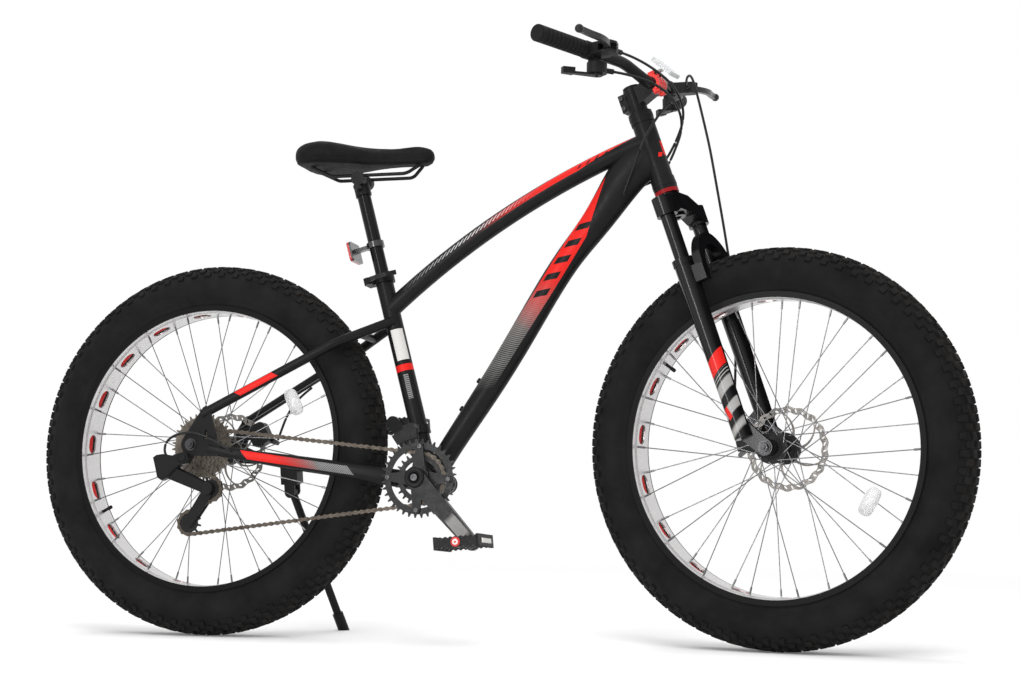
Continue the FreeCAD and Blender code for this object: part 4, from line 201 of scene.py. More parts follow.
def wheel_axes(joint, up):
    """A wheel's axes: y along its axle, z towards `up`."""
    y = joint_axis(joint)
    z = (up - y * up.dot(y)).normalized()
    return axes(joint_place(joint), y.cross(z), y, z)


DESIGN = design_axes()
STEER = steering_axes()


def design(x, y, z):
    return DESIGN @ mm(x, y, z)


def steer(x, y, z):
    return STEER @ mm(x, y, z)


def tilted(foot, degrees):
    """The upright axes moved to a foot, with x turned upwards."""
    return Matrix.Translation(foot) @ DESIGN.to_3x3().to_4x4() @ spin(-degrees)


BRACKET = DESIGN @ shift(BRACKET_X, 0, BRACKET_Z)
DOWN_TUBE = tilted(BRACKET.translation,
                   math.degrees(math.atan2(DOWN_TUBE_END_Z - BRACKET_Z, DOWN_TUBE_END_X - BRACKET_X)))
SEAT_TUBE = tilted(BRACKET.translation, SEAT_LEAN)
HEAD_TUBE = tilted(STEER.translation, HEAD_TILT)
WHEELS = {"rear": wheel_axes("rear_wheel_spin", DESIGN.col[2].xyz) @ spin(REAR_PHASE),
          "front": wheel_axes("front_wheel_spin", STEER.col[2].xyz) @ spin(FRONT_PHASE)}
OWN = Matrix.Identity(4)
AHEAD = STEER.col[0].xyz
LEFT = DESIGN.col[1].xyz
SIDES = ((-1, "right"), (1, "left"))


# Materials

class Paint:
    """One procedural material, built socket by socket."""

    def __init__(self, name, rough=0.5, metal=0.0, spec=0.5, coat=0.0):
        self.made = bpy.data.materials.new(name)
        self.made.use_nodes = True
        self.tree = self.made.node_tree
        self.shader = self.tree.nodes["Principled BSDF"]
        self.place = self.add("ShaderNodeTexCoord").outputs["Object"]
        self.rough = rough
        for socket, value in (("Roughness", rough), ("Metallic", metal), ("Specular IOR Level", spec),
                              ("Coat Weight", coat), ("Coat Roughness", 0.12)):
            self.feed(value, socket)

    def add(self, kind, **settings):
        node = self.tree.nodes.new(kind)
        for key, value in settings.items():
            setattr(node, key, value)
        return node

    def plug(self, value, socket):
        if isinstance(value, bpy.types.NodeSocket):
            self.tree.links.new(value, socket)
        elif socket.type == "RGBA":
            socket.default_value = (*value, 1.0)
        else:
            socket.default_value = value

    def feed(self, value, name):
        self.plug(value, self.shader.inputs[name])

    def calc(self, operation, first, second=0.0):
        node = self.add("ShaderNodeMath", operation=operation)
        self.plug(first, node.inputs[0])
        self.plug(second, node.inputs[1])
        return node.outputs[0]

    def dot(self, vector, axis):
        node = self.add("ShaderNodeVectorMath", operation="DOT_PRODUCT")
        self.plug(vector, node.inputs[0])
        node.inputs[1].default_value = axis
        return node.outputs["Value"]

    def on(self, matrix):
        """The three coordinates on some axes, in millimetres."""
        minus = self.add("ShaderNodeVectorMath", operation="SUBTRACT")
        self.plug(self.place, minus.inputs[0])
        minus.inputs[1].default_value = matrix.translation
        return [self.dot(minus.outputs[0], matrix.col[k].xyz / MM) for k in range(3)]

    def ramp(self, value, low, high, to_low=0.0, to_high=1.0):
        node = self.add("ShaderNodeMapRange")
        for socket, setting in zip(node.inputs[:5], (value, low, high, to_low, to_high)):
            self.plug(setting, socket)
        return node.outputs[0]

    def band(self, value, low, high, soft=0.6):
        """1 between two values and 0 outside them."""
        return self.both(self.ramp(value, low, low + soft), self.ramp(value, high - soft, high, 1, 0))

    def both(self, *masks):
        return reduce(lambda one, other: self.calc("MULTIPLY", one, other), masks)

    def either(self, *masks):
        return reduce(lambda one, other: self.calc("MAXIMUM", one, other), masks)

    def skew(self, value, other, slope):
        """A coordinate slanted by its share of another."""
        return self.calc("ADD", value, self.calc("MULTIPLY", other, slope))

    def radius(self, first, second):
        """Distance from an axis, from two coordinates."""
        squares = [self.calc("MULTIPLY", value, value) for value in (first, second)]
        return self.calc("SQRT", self.calc("ADD", *squares))

    def stripes(self, value, pitch, share, soft=0.12):
        """Lines across a coordinate: 1 on a share of each pitch."""
        phase = self.calc("FRACT", self.calc("DIVIDE", value, pitch))
        return self.band(phase, 0.0, share + soft, soft)

    def noise(self, scale, detail=3.0, roughness=0.55):
        node = self.add("ShaderNodeTexNoise")
        self.plug(self.place, node.inputs["Vector"])
        node.inputs["Scale"].default_value = scale
        node.inputs["Detail"].default_value = detail
        node.inputs["Roughness"].default_value = roughness
        return node.outputs["Fac"]

    def drift(self, scale, low=0.0, high=1.0):
        """A value that wanders between two over the surface."""
        return self.ramp(self.noise(scale), 0.3, 0.7, low, high)

    def mix(self, factor, first, second):
        node = self.add("ShaderNodeMix", data_type="RGBA")
        self.plug(factor, node.inputs[0])
        self.plug(first, node.inputs[6])
        self.plug(second, node.inputs[7])
        return node.outputs[2]

    def mottle(self, colour, scale, amount):
        """A colour that drifts a little either way over the surface."""
        dark = [c * (1 - amount) for c in colour]
        light = [min(1.0, c * (1 + amount)) for c in colour]
        return self.mix(self.drift(scale), dark, light)

    def bump(self, height, strength, distance):
        node = self.add("ShaderNodeBump")
        node.inputs["Strength"].default_value = strength
        node.inputs["Distance"].default_value = distance * MM
        self.plug(height, node.inputs["Height"])
        old = self.shader.inputs["Normal"]
        if old.is_linked:
            self.tree.links.new(old.links[0].from_socket, node.inputs["Normal"])
        self.tree.links.new(node.outputs[0], old)

    def layers(self, base, *coats):
        """Colour it with coats over a base, each a mask, a colour and, where it is thin, a strength."""
        for mask, colour, *strength in coats:
            base = self.mix(self.both(mask, *strength), base, colour)
        self.feed(base, "Base Color")
        return self.made

    def dull(self, axis, spec):
        """Take the gloss off surfaces that face along an axis."""
        facing = self.dot(self.add("ShaderNodeTexCoord").outputs["Normal"], axis)
        self.feed(self.ramp(facing, 0.3, 0.75, spec, 0.0), "Specular IOR Level")

    def uneven(self, scale, amount):
        """Roughness that varies over the surface."""
        low, high = max(0.02, self.rough - amount), min(1.0, self.rough + amount)
        self.feed(self.drift(scale, low, high), "Roughness")


BLACK = (0.0065, 0.0065, 0.007)
SOFT_BLACK = (0.007, 0.007, 0.0075)
GLOSS_BLACK = (0.005, 0.005, 0.0055)
RED = (0.62, 0.016, 0.012)
PALE = (0.42, 0.42, 0.42)


def plain(name, colour, rough, metal=0.0, spec=0.5, grain=900.0, depth=0.03, drift=0.12, coat=0.0):
    """A finish with a fine grain, a drifting colour and uneven gloss."""
    paint = Paint(name, rough, metal, spec, coat)
    base = paint.mottle(colour, grain / 12, drift)
    paint.uneven(grain / 5, 0.25 * rough)
    paint.bump(paint.noise(grain, 4.0), 0.25, depth)
    return paint.layers(base)


def frame_paint(name):
    """Matte black with the fine tooth of a powder coat."""
    paint = Paint(name, 0.38, 0.0, 0.13)
    paint.uneven(60.0, 0.06)
    paint.bump(paint.noise(1400.0, 4.0), 0.12, 0.03)
    return paint, paint.mottle(BLACK, 25.0, 0.2)


def top_tube_paint():
    """Red flash at the head end of the upper flanks, hatched out to pale ticks and then to black."""
    paint, base = frame_paint("top_tube_paint")
    x, y, z = paint.on(DESIGN)
    ends_x, ends_z, arch_height, squareness = (372.0, 890.0), (648.0, 966.0), 33.0, 0.853
    share = paint.ramp(x, *ends_x)
    arch = paint.both(share, paint.calc("SUBTRACT", 1.0, share), 4 * arch_height)
    centre = paint.calc("ADD", paint.ramp(x, *ends_x, *ends_z), arch)
    height = paint.both(paint.calc("SUBTRACT", z, centre), squareness)
    slant = paint.skew(x, height, -0.9)
    flank = paint.band(height, 0.0, 13.5)
    tapered = paint.calc("GREATER_THAN", height, paint.ramp(x, 735.0, 862.0, -2.0, 13.0))
    red = paint.both(flank, tapered, paint.ramp(x, 560.0, 690.0))
    ticks = paint.both(paint.band(height, 4.0, 12.5), paint.stripes(slant, 8.5, 0.5),
                       paint.ramp(x, 400.0, 520.0), paint.ramp(x, 610.0, 690.0, 1.0, 0.0))
    shade = paint.both(flank, paint.band(x, 520.0, 720.0, 90.0), paint.stripes(slant, 4.2, 0.55))
    bars = paint.both(flank, paint.band(height, 3.5, 10.0), paint.band(x, 745.0, 835.0),
                      paint.stripes(slant, 17.0, 0.3))
    return paint.layers(base, (shade, (0.33, 0.05, 0.045), 0.35), (ticks, PALE), (red, RED), (bars, BLACK))


def down_tube_paint():
    """Red panel on both flanks under the head, crossed by dark slashes, fading through a hatch to grey."""
    paint, base = frame_paint("down_tube_paint")
    t, y, h = paint.on(DOWN_TUBE)
    edges = (-13.0, 21.0)
    flank = paint.band(h, *edges)
    slant = paint.skew(t, h, 0.9)
    tip = paint.calc("LESS_THAN", t, paint.ramp(h, *edges, 560.0, 680.0))
    red = paint.both(flank, paint.ramp(t, 345.0, 470.0), tip)
    hatch = paint.both(flank, paint.band(slant, 205.0, 480.0, 60.0), paint.stripes(slant, 5.0, 0.5))
    mist = paint.both(flank, paint.band(slant, 300.0, 480.0, 110.0))
    slashes = paint.both(flank, paint.band(h, -7.0, 15.0), paint.stripes(slant, 38.0, 0.42, 0.03),
                         paint.band(slant, 400.0, 590.0, 2.0))
    return paint.layers(base, (mist, (0.25, 0.18, 0.17), 0.55), (hatch, (0.22, 0.22, 0.21), 0.7), (red, RED),
                        (slashes, BLACK))


def seat_tube_paint():
    """A red ring, with a bare pale label place above it and a grey flash below."""
    paint, base = frame_paint("seat_tube_paint")
    e, y, t = paint.on(SEAT_TUBE)
    ring = paint.band(t, 222.0, 236.0)
    label = paint.both(paint.band(t, 244.0, 308.0), paint.band(e, -6.0, 16.5))
    flash = paint.both(paint.band(t, 165.0, 216.0), paint.band(e, -1.0, 9.0), paint.stripes(t, 4.0, 0.6))
    return paint.layers(base, (ring, RED), (label, (0.55, 0.54, 0.52)), (flash, PALE, 0.5))


def head_tube_paint():
    """A small slanted red mark on each side, and a red line down the front."""
    paint, base = frame_paint("head_tube_paint")
    e, y, t = paint.on(HEAD_TUBE)
    mark = paint.both(paint.band(t, 49.0, 58.0), paint.band(paint.skew(e, t, -0.35), -8.0, -1.0))
    line = paint.both(paint.band(t, 52.0, 82.0), paint.band(e, 19.5, 30.0))
    return paint.layers(base, (paint.either(mark, line), RED))


def stay_paint():
    """Red flashes on the outer flanks of the seat and chain stays, the lower ones hatched out to grey."""
    paint, base = frame_paint("stay_paint")
    x, y, z = paint.on(DESIGN)
    side = paint.calc("ABSOLUTE", y)
    chain_stay, seat_stay = (90.0, 345.0), (20.0, 280.0)
    offset = paint.calc("SUBTRACT", z, paint.ramp(x, *chain_stay, 355.0, 321.0))
    outer = paint.calc("GREATER_THAN", side, paint.ramp(x, *chain_stay, 93.0, 62.0))
    low = paint.both(outer, paint.band(offset, -8.0, 8.5))
    slant = paint.skew(x, offset, 0.9)
    red = paint.both(low, paint.ramp(slant, 110.0, 111.0), paint.ramp(slant, 170.0, 262.0, 1.0, 0.0))
    hatch = paint.both(low, paint.ramp(slant, 180.0, 262.0), paint.ramp(slant, 326.0, 327.0, 1.0, 0.0),
                       paint.stripes(slant, 4.0, 0.55))
    above = paint.calc("SUBTRACT", z, paint.ramp(x, *seat_stay, 432.0, 574.0))
    outside = paint.calc("GREATER_THAN", side, paint.ramp(x, *seat_stay, 99.5, 64.0))
    flash = paint.both(outside, paint.band(above, -7.0, 8.0),
                       paint.band(paint.calc("ADD", x, above), 92.0, 166.0))
    return paint.layers(base, (hatch, PALE, 0.6), (paint.either(red, flash), RED))


def fork_gloss(name, spec, grain, detail, strength, depth):
    """Gloss black, dulled on the front faces."""
    paint = Paint(name, 0.18, 0.0, spec)
    paint.bump(paint.noise(grain, detail), strength, depth)
    paint.dull(AHEAD, 0.3)
    return paint, paint.mottle(GLOSS_BLACK, 30.0, 0.2)


def fork_paint():
    """Gloss black legs with a red cap, grey print bands that a painted highlight brightens towards the front,
    and dark slashes on the outer side of each.
    """
    paint, base = fork_gloss("fork_paint", 0.15, 300.0, 2.0, 0.05, 0.05)
    x, y, z = paint.on(STEER)
    outer = paint.calc("GREATER_THAN", paint.calc("ABSOLUTE", y), 84.0)
    slant = paint.skew(z, x, -0.7)
    cap = paint.both(outer, paint.band(slant, -405.0, -373.0))
    lines = paint.both(paint.band(slant, -424.0, -407.0), paint.stripes(slant, 6.0, 0.35))
    silver = paint.either(lines, paint.band(slant, -448.0, -424.0, 3.0),
                          paint.band(slant, -488.0, -466.0, 3.0), paint.band(slant, -524.0, -504.0, 6.0))
    # The grey print bands get stronger towards the front of the leg: this is a painted highlight.
    silver_print_and_highlight = paint.both(outer, silver, paint.ramp(x, -24.0, 2.0, 0.15, 0.75))
    chip = paint.both(outer, paint.band(slant, -492.0, -466.0),
                      paint.band(paint.skew(x, z, 0.25), -117.0, -107.0))
    return paint.layers(base, (silver_print_and_highlight, (0.42, 0.41, 0.40)), (paint.either(cap, chip), RED))


def crown_paint():
    paint, base = fork_gloss("crown_paint", 0.3, 400.0, 3.0, 0.1, 0.02)
    return paint.layers(base)


def crank_paint():
    """Black arms, the right one with a grey dotted panel towards its pedal."""
    paint = Paint("crank_paint", 0.3, 0.0, 0.16)
    x, y, z = paint.on(BRACKET @ spin(-CRANK_ANGLE))
    face = paint.calc("LESS_THAN", y, -90.0)
    panel = paint.both(face, paint.band(x, 100.0, 156.0, 10.0), paint.band(z, -11.5, 11.5))
    dots = paint.both(paint.stripes(x, 2.6, 0.6, 0.3), paint.stripes(z, 2.6, 0.6, 0.3))
    base = paint.mottle((0.006, 0.006, 0.0065), 40.0, 0.2)
    paint.bump(paint.noise(900.0, 3.0), 0.12, 0.03)
    paint.uneven(90.0, 0.05)
    return paint.layers(base, (panel, paint.mix(dots, (0.16, 0.155, 0.15), (0.34, 0.335, 0.33))))


def rim_metal(wheel):
    """Cloudy silvery floor, and dark flanks."""
    paint = Paint("rim_metal_" + wheel, 0.34, 0.75, 0.5)
    x, y, z = paint.on(WHEELS[wheel])
    bright = paint.mix(paint.noise(260.0, 2.0, 0.5), (0.54, 0.53, 0.53), (0.70, 0.69, 0.69))
    flank = paint.calc("GREATER_THAN", paint.calc("ABSOLUTE", y), RIM_HALF - 3.5)
    paint.bump(paint.noise(700.0, 2.0), 0.08, 0.03)
    paint.feed(paint.ramp(flank, 0.0, 1.0, 0.75, 0.0), "Metallic")
    paint.feed(paint.ramp(flank, 0.0, 1.0, 0.5, 0.08), "Specular IOR Level")
    return paint.layers(bright, (flank, GLOSS_BLACK))


def tyre_rubber():
    """Dull rubber: fine moulding lines round the sidewall and a little dust on the tread."""
    paint = Paint("tyre_rubber", 0.74, 0.0, 0.12)
    x, y, z = paint.on(OWN)
    radius = paint.radius(x, z)
    dust = paint.both(paint.ramp(radius, 345.0, 371.0), paint.ramp(paint.noise(70.0, 5.0), 0.42, 0.68))
    base = paint.mottle(BLACK, 14.0, 0.35)
    paint.uneven(20.0, 0.12)
    paint.bump(paint.noise(900.0, 3.0), 0.3, 0.08)
    rings = paint.both(paint.stripes(radius, 5.0, 0.5, 0.25), paint.band(radius, 296.0, 322.0, 4.0))
    paint.bump(rings, 0.35, 0.35)
    return paint.layers(base, (dust, (0.022, 0.019, 0.016), 0.75))


def saddle_cover():
    """Grained black cover."""
    paint = Paint("saddle_cover", 0.58, 0.0, 0.07)
    cells = paint.add("ShaderNodeTexVoronoi")
    paint.plug(paint.place, cells.inputs["Vector"])
    cells.inputs["Scale"].default_value = 620.0
    base = paint.mottle(SOFT_BLACK, 40.0, 0.2)
    paint.uneven(120.0, 0.08)
    paint.bump(cells.outputs["Distance"], 0.3, 0.15)
    return paint.layers(base)


def reflector_lens(name, colour, dark, matrix, low, high):
    """A prismatic lens between two places along the first axis, and a dark holder outside them."""
    paint = Paint(name, 0.18, 0.0, 0.6, 0.5)
    x, y, z = paint.on(matrix)
    cells = paint.both(paint.stripes(y, 2.6, 0.5, 0.4), paint.stripes(z, 2.6, 0.5, 0.4))
    paint.bump(cells, 0.5, 0.4)
    bright = paint.mix(cells, [c * 0.55 for c in colour], colour)
    return paint.layers(dark, (paint.band(x, low, high, 0.3), bright))


def wheel_lens():
    """A pale ribbed lens that lets some light through."""
    paint = Paint("wheel_lens", 0.2, 0.0, 0.6, 0.3)
    x, y, z = paint.on(OWN)
    ribs = paint.stripes(z, 2.4, 0.5, 0.3)
    paint.bump(ribs, 0.4, 0.4)
    paint.feed(0.35, "Transmission Weight")
    return paint.layers((0.68, 0.68, 0.68), (ribs, (0.86, 0.86, 0.86)))


def pedal_cap_paint():
    """Red end cap with a pale ring."""
    paint = Paint("pedal_cap", 0.35, 0.0, 0.4)
    x, y, z = paint.on(OWN)
    ring = paint.band(paint.radius(x, z), 2.2, 5.6, 0.3)
    pale = paint.mix(paint.noise(400.0), (0.55, 0.52, 0.5), (0.7, 0.68, 0.66))
    return paint.layers((0.5, 0.03, 0.03), (ring, pale))


def satin(name, rough, spec):
    paint = Paint(name, rough, 0.0, spec)
    paint.uneven(150.0, 0.08)
    paint.bump(paint.noise(900.0, 3.0), 0.15, 0.03)
    return paint


def two_tone(name, matrix, axis, low, high, inside, rough, spec):
    """One colour between two places along an axis, and black outside them."""
    paint = satin(name, rough, spec)
    mask = paint.band(paint.on(matrix)[axis], low, high, 0.4)
    return paint.layers(paint.mottle(BLACK, 60.0, 0.15), (mask, inside))


MATTE = plain("black_alloy", SOFT_BLACK, 0.38, 0.0, 0.14)
GLOSS = plain("black_gloss", GLOSS_BLACK, 0.18, 0.0, 0.15, 400.0, 0.02)
PLASTIC = plain("black_plastic", SOFT_BLACK, 0.5, 0.0, 0.2, 1200.0, 0.05)
RUBBER = plain("grip_rubber", (0.0065, 0.0065, 0.0065), 0.68, 0.0, 0.16, 1500.0, 0.08)
DARK_STEEL = plain("dark_steel", (0.055, 0.055, 0.057), 0.32, 1.0, 0.5, 700.0, 0.02)
STEEL = plain("bright_steel", (0.55, 0.55, 0.56), 0.3, 1.0, 0.5, 700.0, 0.02)
SPOKE = plain("spoke_steel", (0.15, 0.15, 0.155), 0.35, 1.0, 0.5, 900.0, 0.01)
ROTOR = plain("rotor_steel", (0.13, 0.122, 0.114), 0.36, 1.0, 0.5, 500.0, 0.02, 0.18)
CHAIN = plain("chain_steel", (0.075, 0.063, 0.052), 0.42, 0.9, 0.5, 700.0, 0.03, 0.3)
COGS = plain("cog_steel", (0.10, 0.087, 0.073), 0.40, 0.9, 0.5, 600.0, 0.03, 0.3)
RING = plain("ring_black", SOFT_BLACK, 0.36, 0.2, 0.25)
RED_METAL = plain("red_anodised", (0.62, 0.018, 0.012), 0.34, 0.25, 0.5)
CABLE_SKIN = plain("cable_housing", (0.006, 0.006, 0.0065), 0.38, 0.0, 0.25)
TYRE = tyre_rubber()


def dress(material, *names):
    """Give CAD nodes a finish."""
    for name in names:
        for slot in frame["nodes"][name].material_slots:
            slot.material = material


def dress_nodes():
    """Finishes of the nodes that are seen as they were packed."""
    dress(top_tube_paint(), "top_tube")
    dress(down_tube_paint(), "down_tube")
    dress(seat_tube_paint(), "seat_tube")
    dress(head_tube_paint(), "head_tube")
    dress(stay_paint(), "rear_triangle")
    dress(fork_paint(), "fork_lowers")
    dress(crown_paint(), "fork_crown")
    dress(crank_paint(), "crank_arms")
    dress(GLOSS, "seat_post")
    dress(MATTE, "headset_cups", "bottom_bracket", "seat_collar", "seat_collar_lever", "stem", "handlebar",
          "front_hub", "rear_hub", "front_caliper", "rear_caliper", "kickstand_bracket", "kickstand_leg",
          "front_derailleur", "front_derailleur_cage", "rear_derailleur", "derailleur_knuckle",
          "derailleur_cage", "saddle_rails")
    dress(PLASTIC, "control_units", "shift_lever_right", "shift_lever_left", "jockey_upper", "jockey_lower")
    dress(RUBBER, "grips")
    dress(DARK_STEEL, "rear_axle", "front_axle", "rear_caliper_arm", "front_caliper_arm")
    dress(SPOKE, "front_spokes", "rear_spokes")
    dress(COGS, "cassette")
    dress(RING, "chainrings")
    dress(RED_METAL, "stem_faceplate")
    dress(two_tone("headset_cover_finish", STEER, 2, -25.0, -14.5, (0.24, 0.006, 0.008), 0.36, 0.13),
          "headset_covers")
    lever = satin("lever_finish", 0.3, 0.3).layers((0.008, 0.008, 0.0085))
    dress(lever, "brake_lever_right", "brake_lever_left")
    for wheel in WHEELS:
        dress(rim_metal(wheel), wheel + "_rim")
    dress(reflector_lens("tail_lens", (0.55, 0.012, 0.01), BLACK, SEAT_TUBE, -60.0, -46.0), "tail_reflector")
    dress(reflector_lens("front_lens", (0.62, 0.63, 0.64), (0.25, 0.25, 0.25), STEER, 58.0, 120.0),
          "front_reflector")


# Mesh helpers

def piece(name, mesh, material, body, matrix=None, smooth=True):
    """A new object on the bicycle that moves with a body."""
    thing = bpy.data.objects.new(name, mesh)
    scene.collection.objects.link(thing)
    if matrix is not None:
        thing.matrix_world = matrix
    mesh.materials.clear()
    mesh.materials.append(material)
    if smooth:
        mesh.shade_smooth()
    if body:
        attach(thing, body)
    return thing


def mesh_from(name, build):
    """A mesh that a function fills."""
    work = bmesh.new()
    build(work)
    bmesh.ops.recalc_face_normals(work, faces=work.faces)
    mesh = bpy.data.meshes.new(name)
    work.to_mesh(mesh)
    work.free()
    return mesh


def skin(work, loops, caps=(0, -1), closed=True):
    """Faces between each loop of points and the next, and over the loops named as caps."""
    for low, high in zip(loops, loops[1:]):
        for i in range(len(low) if closed else len(low) - 1):
            j = (i + 1) % len(low)
            work.faces.new((low[i], low[j], high[j], high[i]))
    for cap in caps:
        work.faces.new(loops[cap])


def ring_strip(work, profile, count, closed=True):
    """Turn a profile of (y, r) points in millimetres about y."""
    rings = []
    for a in turns(count):
        rings.append([work.verts.new(mm(r * math.sin(a), y, r * math.cos(a))) for y, r in profile])
    skin(work, rings + rings[:1], (), closed)


def lathe(name, profile, count, closed=False):
    return mesh_from(name, lambda work: ring_strip(work, profile, count, closed))


def block(work, matrix, length, width, height):
    """A moulded knob on the xy plane of some axes, with drafted sides and a chamfered top."""
    x, y = length / 2, width / 2
    levels = ((x * KNOB_FLARE, y * KNOB_FLARE, 0.0), (x, y, height - KNOB_CHAMFER),
              (x - KNOB_CHAMFER, y - KNOB_CHAMFER, height))
    corners = ((-1, -1), (1, -1), (1, 1), (-1, 1))
    loops = []
    for hx, hy, z in levels:
        loops.append([work.verts.new(matrix @ mm(sx * hx, sy * hy, z)) for sx, sy in corners])
    skin(work, loops, (-1,))


def plate(work, matrix, outline, y_from, y_to):
    """A flat plate over an (x, z) outline in millimetres, from one y to another."""
    skin(work, [[work.verts.new(matrix @ mm(x, y, z)) for x, z in outline] for y in (y_from, y_to)])


def round_outline(radius, count, x=0.0):
    return [(x + radius * math.cos(a), radius * math.sin(a)) for a in turns(count)]


def curve_mesh(curve):
    """The mesh of a curve, which is used up."""
    holder = bpy.data.objects.new("curve", curve)
    scene.collection.objects.link(holder)
    mesh = bpy.data.meshes.new_from_object(holder)
    bpy.data.objects.remove(holder)
    bpy.data.curves.remove(curve)
    return mesh


def nurbs_path(points):
    """Points along one smooth spline whose control points are given in metres."""
    curve = bpy.data.curves.new("route", "CURVE")
    curve.dimensions = "3D"
    curve.resolution_u = 10
    spline = curve.splines.new("NURBS")
    spline.points.add(len(points) - 1)
    for point, place in zip(spline.points, points):
        point.co = (*place, 1.0)
    spline.order_u = 3
    spline.use_endpoint_u = True
    mesh = curve_mesh(curve)
    path = [vertex.co.copy() for vertex in mesh.vertices]
    bpy.data.meshes.remove(mesh)
    return path


def housing(name, path, bodies, node):
    """A round cable along points in metres, riding with one body, or left where it lies at rest when it runs
    between two.
    """
    def build(work):
        loops = []
        for k, place in enumerate(path):
            along = (path[min(k + 1, len(path) - 1)] - path[max(k - 1, 0)]).normalized()
            guide = Vector((0, 0, 1)) if abs(along.z) < 0.9 else Vector((1, 0, 0))
            first = along.cross(guide).normalized()
            second = along.cross(first)
            loops.append([work.verts.new(place + (first * math.cos(a) + second * math.sin(a)) * (CABLE * MM))
                          for a in turns(14)])
        skin(work, loops)
    body = bodies[0] if len(bodies) == 1 else None
    thing = piece(name, mesh_from(name, build), CABLE_SKIN, body)
    if body is None:
        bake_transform(thing)
    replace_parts(thing, node)


def screw_heads(name, body, heads, material):
    """Socket head screws: each is its place in metres, the way it faces, and its radius and height."""
    rim, socket = 24, 6

    def build(work):
        for place, axis, radius, height in heads:
            z = Vector(axis).normalized()
            x = z.orthogonal().normalized()
            spot = axes(place, x, z.cross(x), z)
            rows = ((1.0, 0.0, rim), (1.0, height - 0.5, rim), (0.9, height, rim), (0.52, height, socket),
                    (0.5, height * 0.45, socket))
            loops = []
            for share, lift, count in rows:
                ring = round_outline(radius * share, count)
                loops.append([work.verts.new(spot @ mm(u, v, lift)) for u, v in ring])
            skin(work, loops[:3], ())
            skin(work, loops[3:], (-1,))
            per = rim // socket
            for i in range(socket):
                arc = [loops[2][(i * per + k) % rim] for k in range(per + 1)]
                work.faces.new(arc + [loops[3][(i + 1) % socket], loops[3][i]])
    piece(name, mesh_from(name, build), material, body, smooth=False)


# Wheels

def tyre_mesh():
    """Casing, shaded smooth, and the tread's blocks, shaded flat, in one mesh."""
    floor = TREAD_ARC - CASING_DROP
    side = (BEAD + TYRE_RADIUS - SHOULDER_DROP) / 2 + 6
    outer = [(36.2, BEAD), (36.2, 289.0), (42.4, 298.0), (47.0, 309.0), (49.0, side), (48.4, 333.0)]
    for degrees in (62, 56, 45, 34, 22, 11):
        a = math.radians(degrees)
        outer.append((floor * math.sin(a), TREAD_CENTRE + floor * math.cos(a)))
    inner = [(31.0, BEAD), (31.0, 290.0), (43.0, 318.0), (36.0, 344.0)]
    section = outer + [(0.0, TREAD_CENTRE + floor)] + [(-y, r) for y, r in reversed(outer)]
    section += [(-y, r) for y, r in inner] + [(0.0, 360.0)] + inner[::-1]

    def build(work):
        ring_strip(work, section, 2 * KNOB_PITCHES)
        for face in work.faces:
            face.smooth = True
        root = floor - KNOB_ROOT
        for tilt, length, width, share, turn in KNOB_ROWS:
            for way in (-1, 1):
                lean = math.radians(way * tilt)
                stagger = share if way > 0 else 1 - share
                stand = (shift(0, root * math.sin(lean), TREAD_CENTRE + root * math.cos(lean))
                         @ spin(-way * tilt, "X") @ spin(way * turn, "Z"))
                for k in range(KNOB_PITCHES):
                    block(work, spin(360 * (k + stagger) / KNOB_PITCHES) @ stand, width, length,
                          CASING_DROP + KNOB_ROOT - KNOB_SHY)
    return mesh_from("tyre", build)


def valve_mesh():
    """Rubber valve stem with its cap."""
    return lathe("valve", [(0.0, 3.0), (2.5, 3.2), (4.0, 3.2), (16.0, 3.0), (17.0, 3.7), (25.0, 3.7),
                           (26.0, 2.6), (26.0, 0.4)], 16)


def wheel_reflector_mesh():
    """A long clear reflector with rounded ends and a lip."""
    def rounded(value, half, power):
        return half * math.copysign(abs(value) ** power, value)

    def build(work):
        outline = [(rounded(math.cos(a), 27.0, 0.5), rounded(math.sin(a), 13.0, 0.6)) for a in turns(40)]
        levels = ((1.0, -4.0), (1.0, 3.0), (0.96, 4.0), (0.86, 4.0), (0.84, 3.2))
        skin(work, [[work.verts.new(mm(x * s, lift, z * s)) for x, z in outline] for s, lift in levels])
    return mesh_from("wheel_reflector", build)


def rotor_track():
    """The wavy brake track with slanted slots, flat on the xy plane."""
    curve = bpy.data.curves.new("rotor", "CURVE")
    curve.dimensions = "2D"
    curve.fill_mode = "BOTH"
    curve.extrude = 0.95 * MM

    def draw(points):
        line = curve.splines.new("POLY")
        line.points.add(len(points) - 1)
        for point, (x, y) in zip(line.points, points):
            point.co = (x * MM, y * MM, 0, 1)
        line.use_cyclic_u = True

    for radius, lag in ((78.4, 0.0), (66.6, 0.9)):
        wave = [(radius + 1.5 * math.sin(ROTOR_WAVES * a + lag), a) for a in turns(360)]
        draw([(r * math.cos(a), r * math.sin(a)) for r, a in wave])
    slots = 2 * ROTOR_WAVES
    middle = Vector((72.2, 0))
    slot = [Vector((4.2 * math.cos(a), 1.7 * math.sin(a))) for a in turns(14)]
    for k in range(slots):
        turn = Matrix.Rotation(2 * math.pi * (k + 0.25) / slots, 2)
        lean = Matrix.Rotation(0.5 if k % 2 else 0.95, 2)
        draw([turn @ (middle + lean @ edge) for edge in slot])
    return curve_mesh(curve)


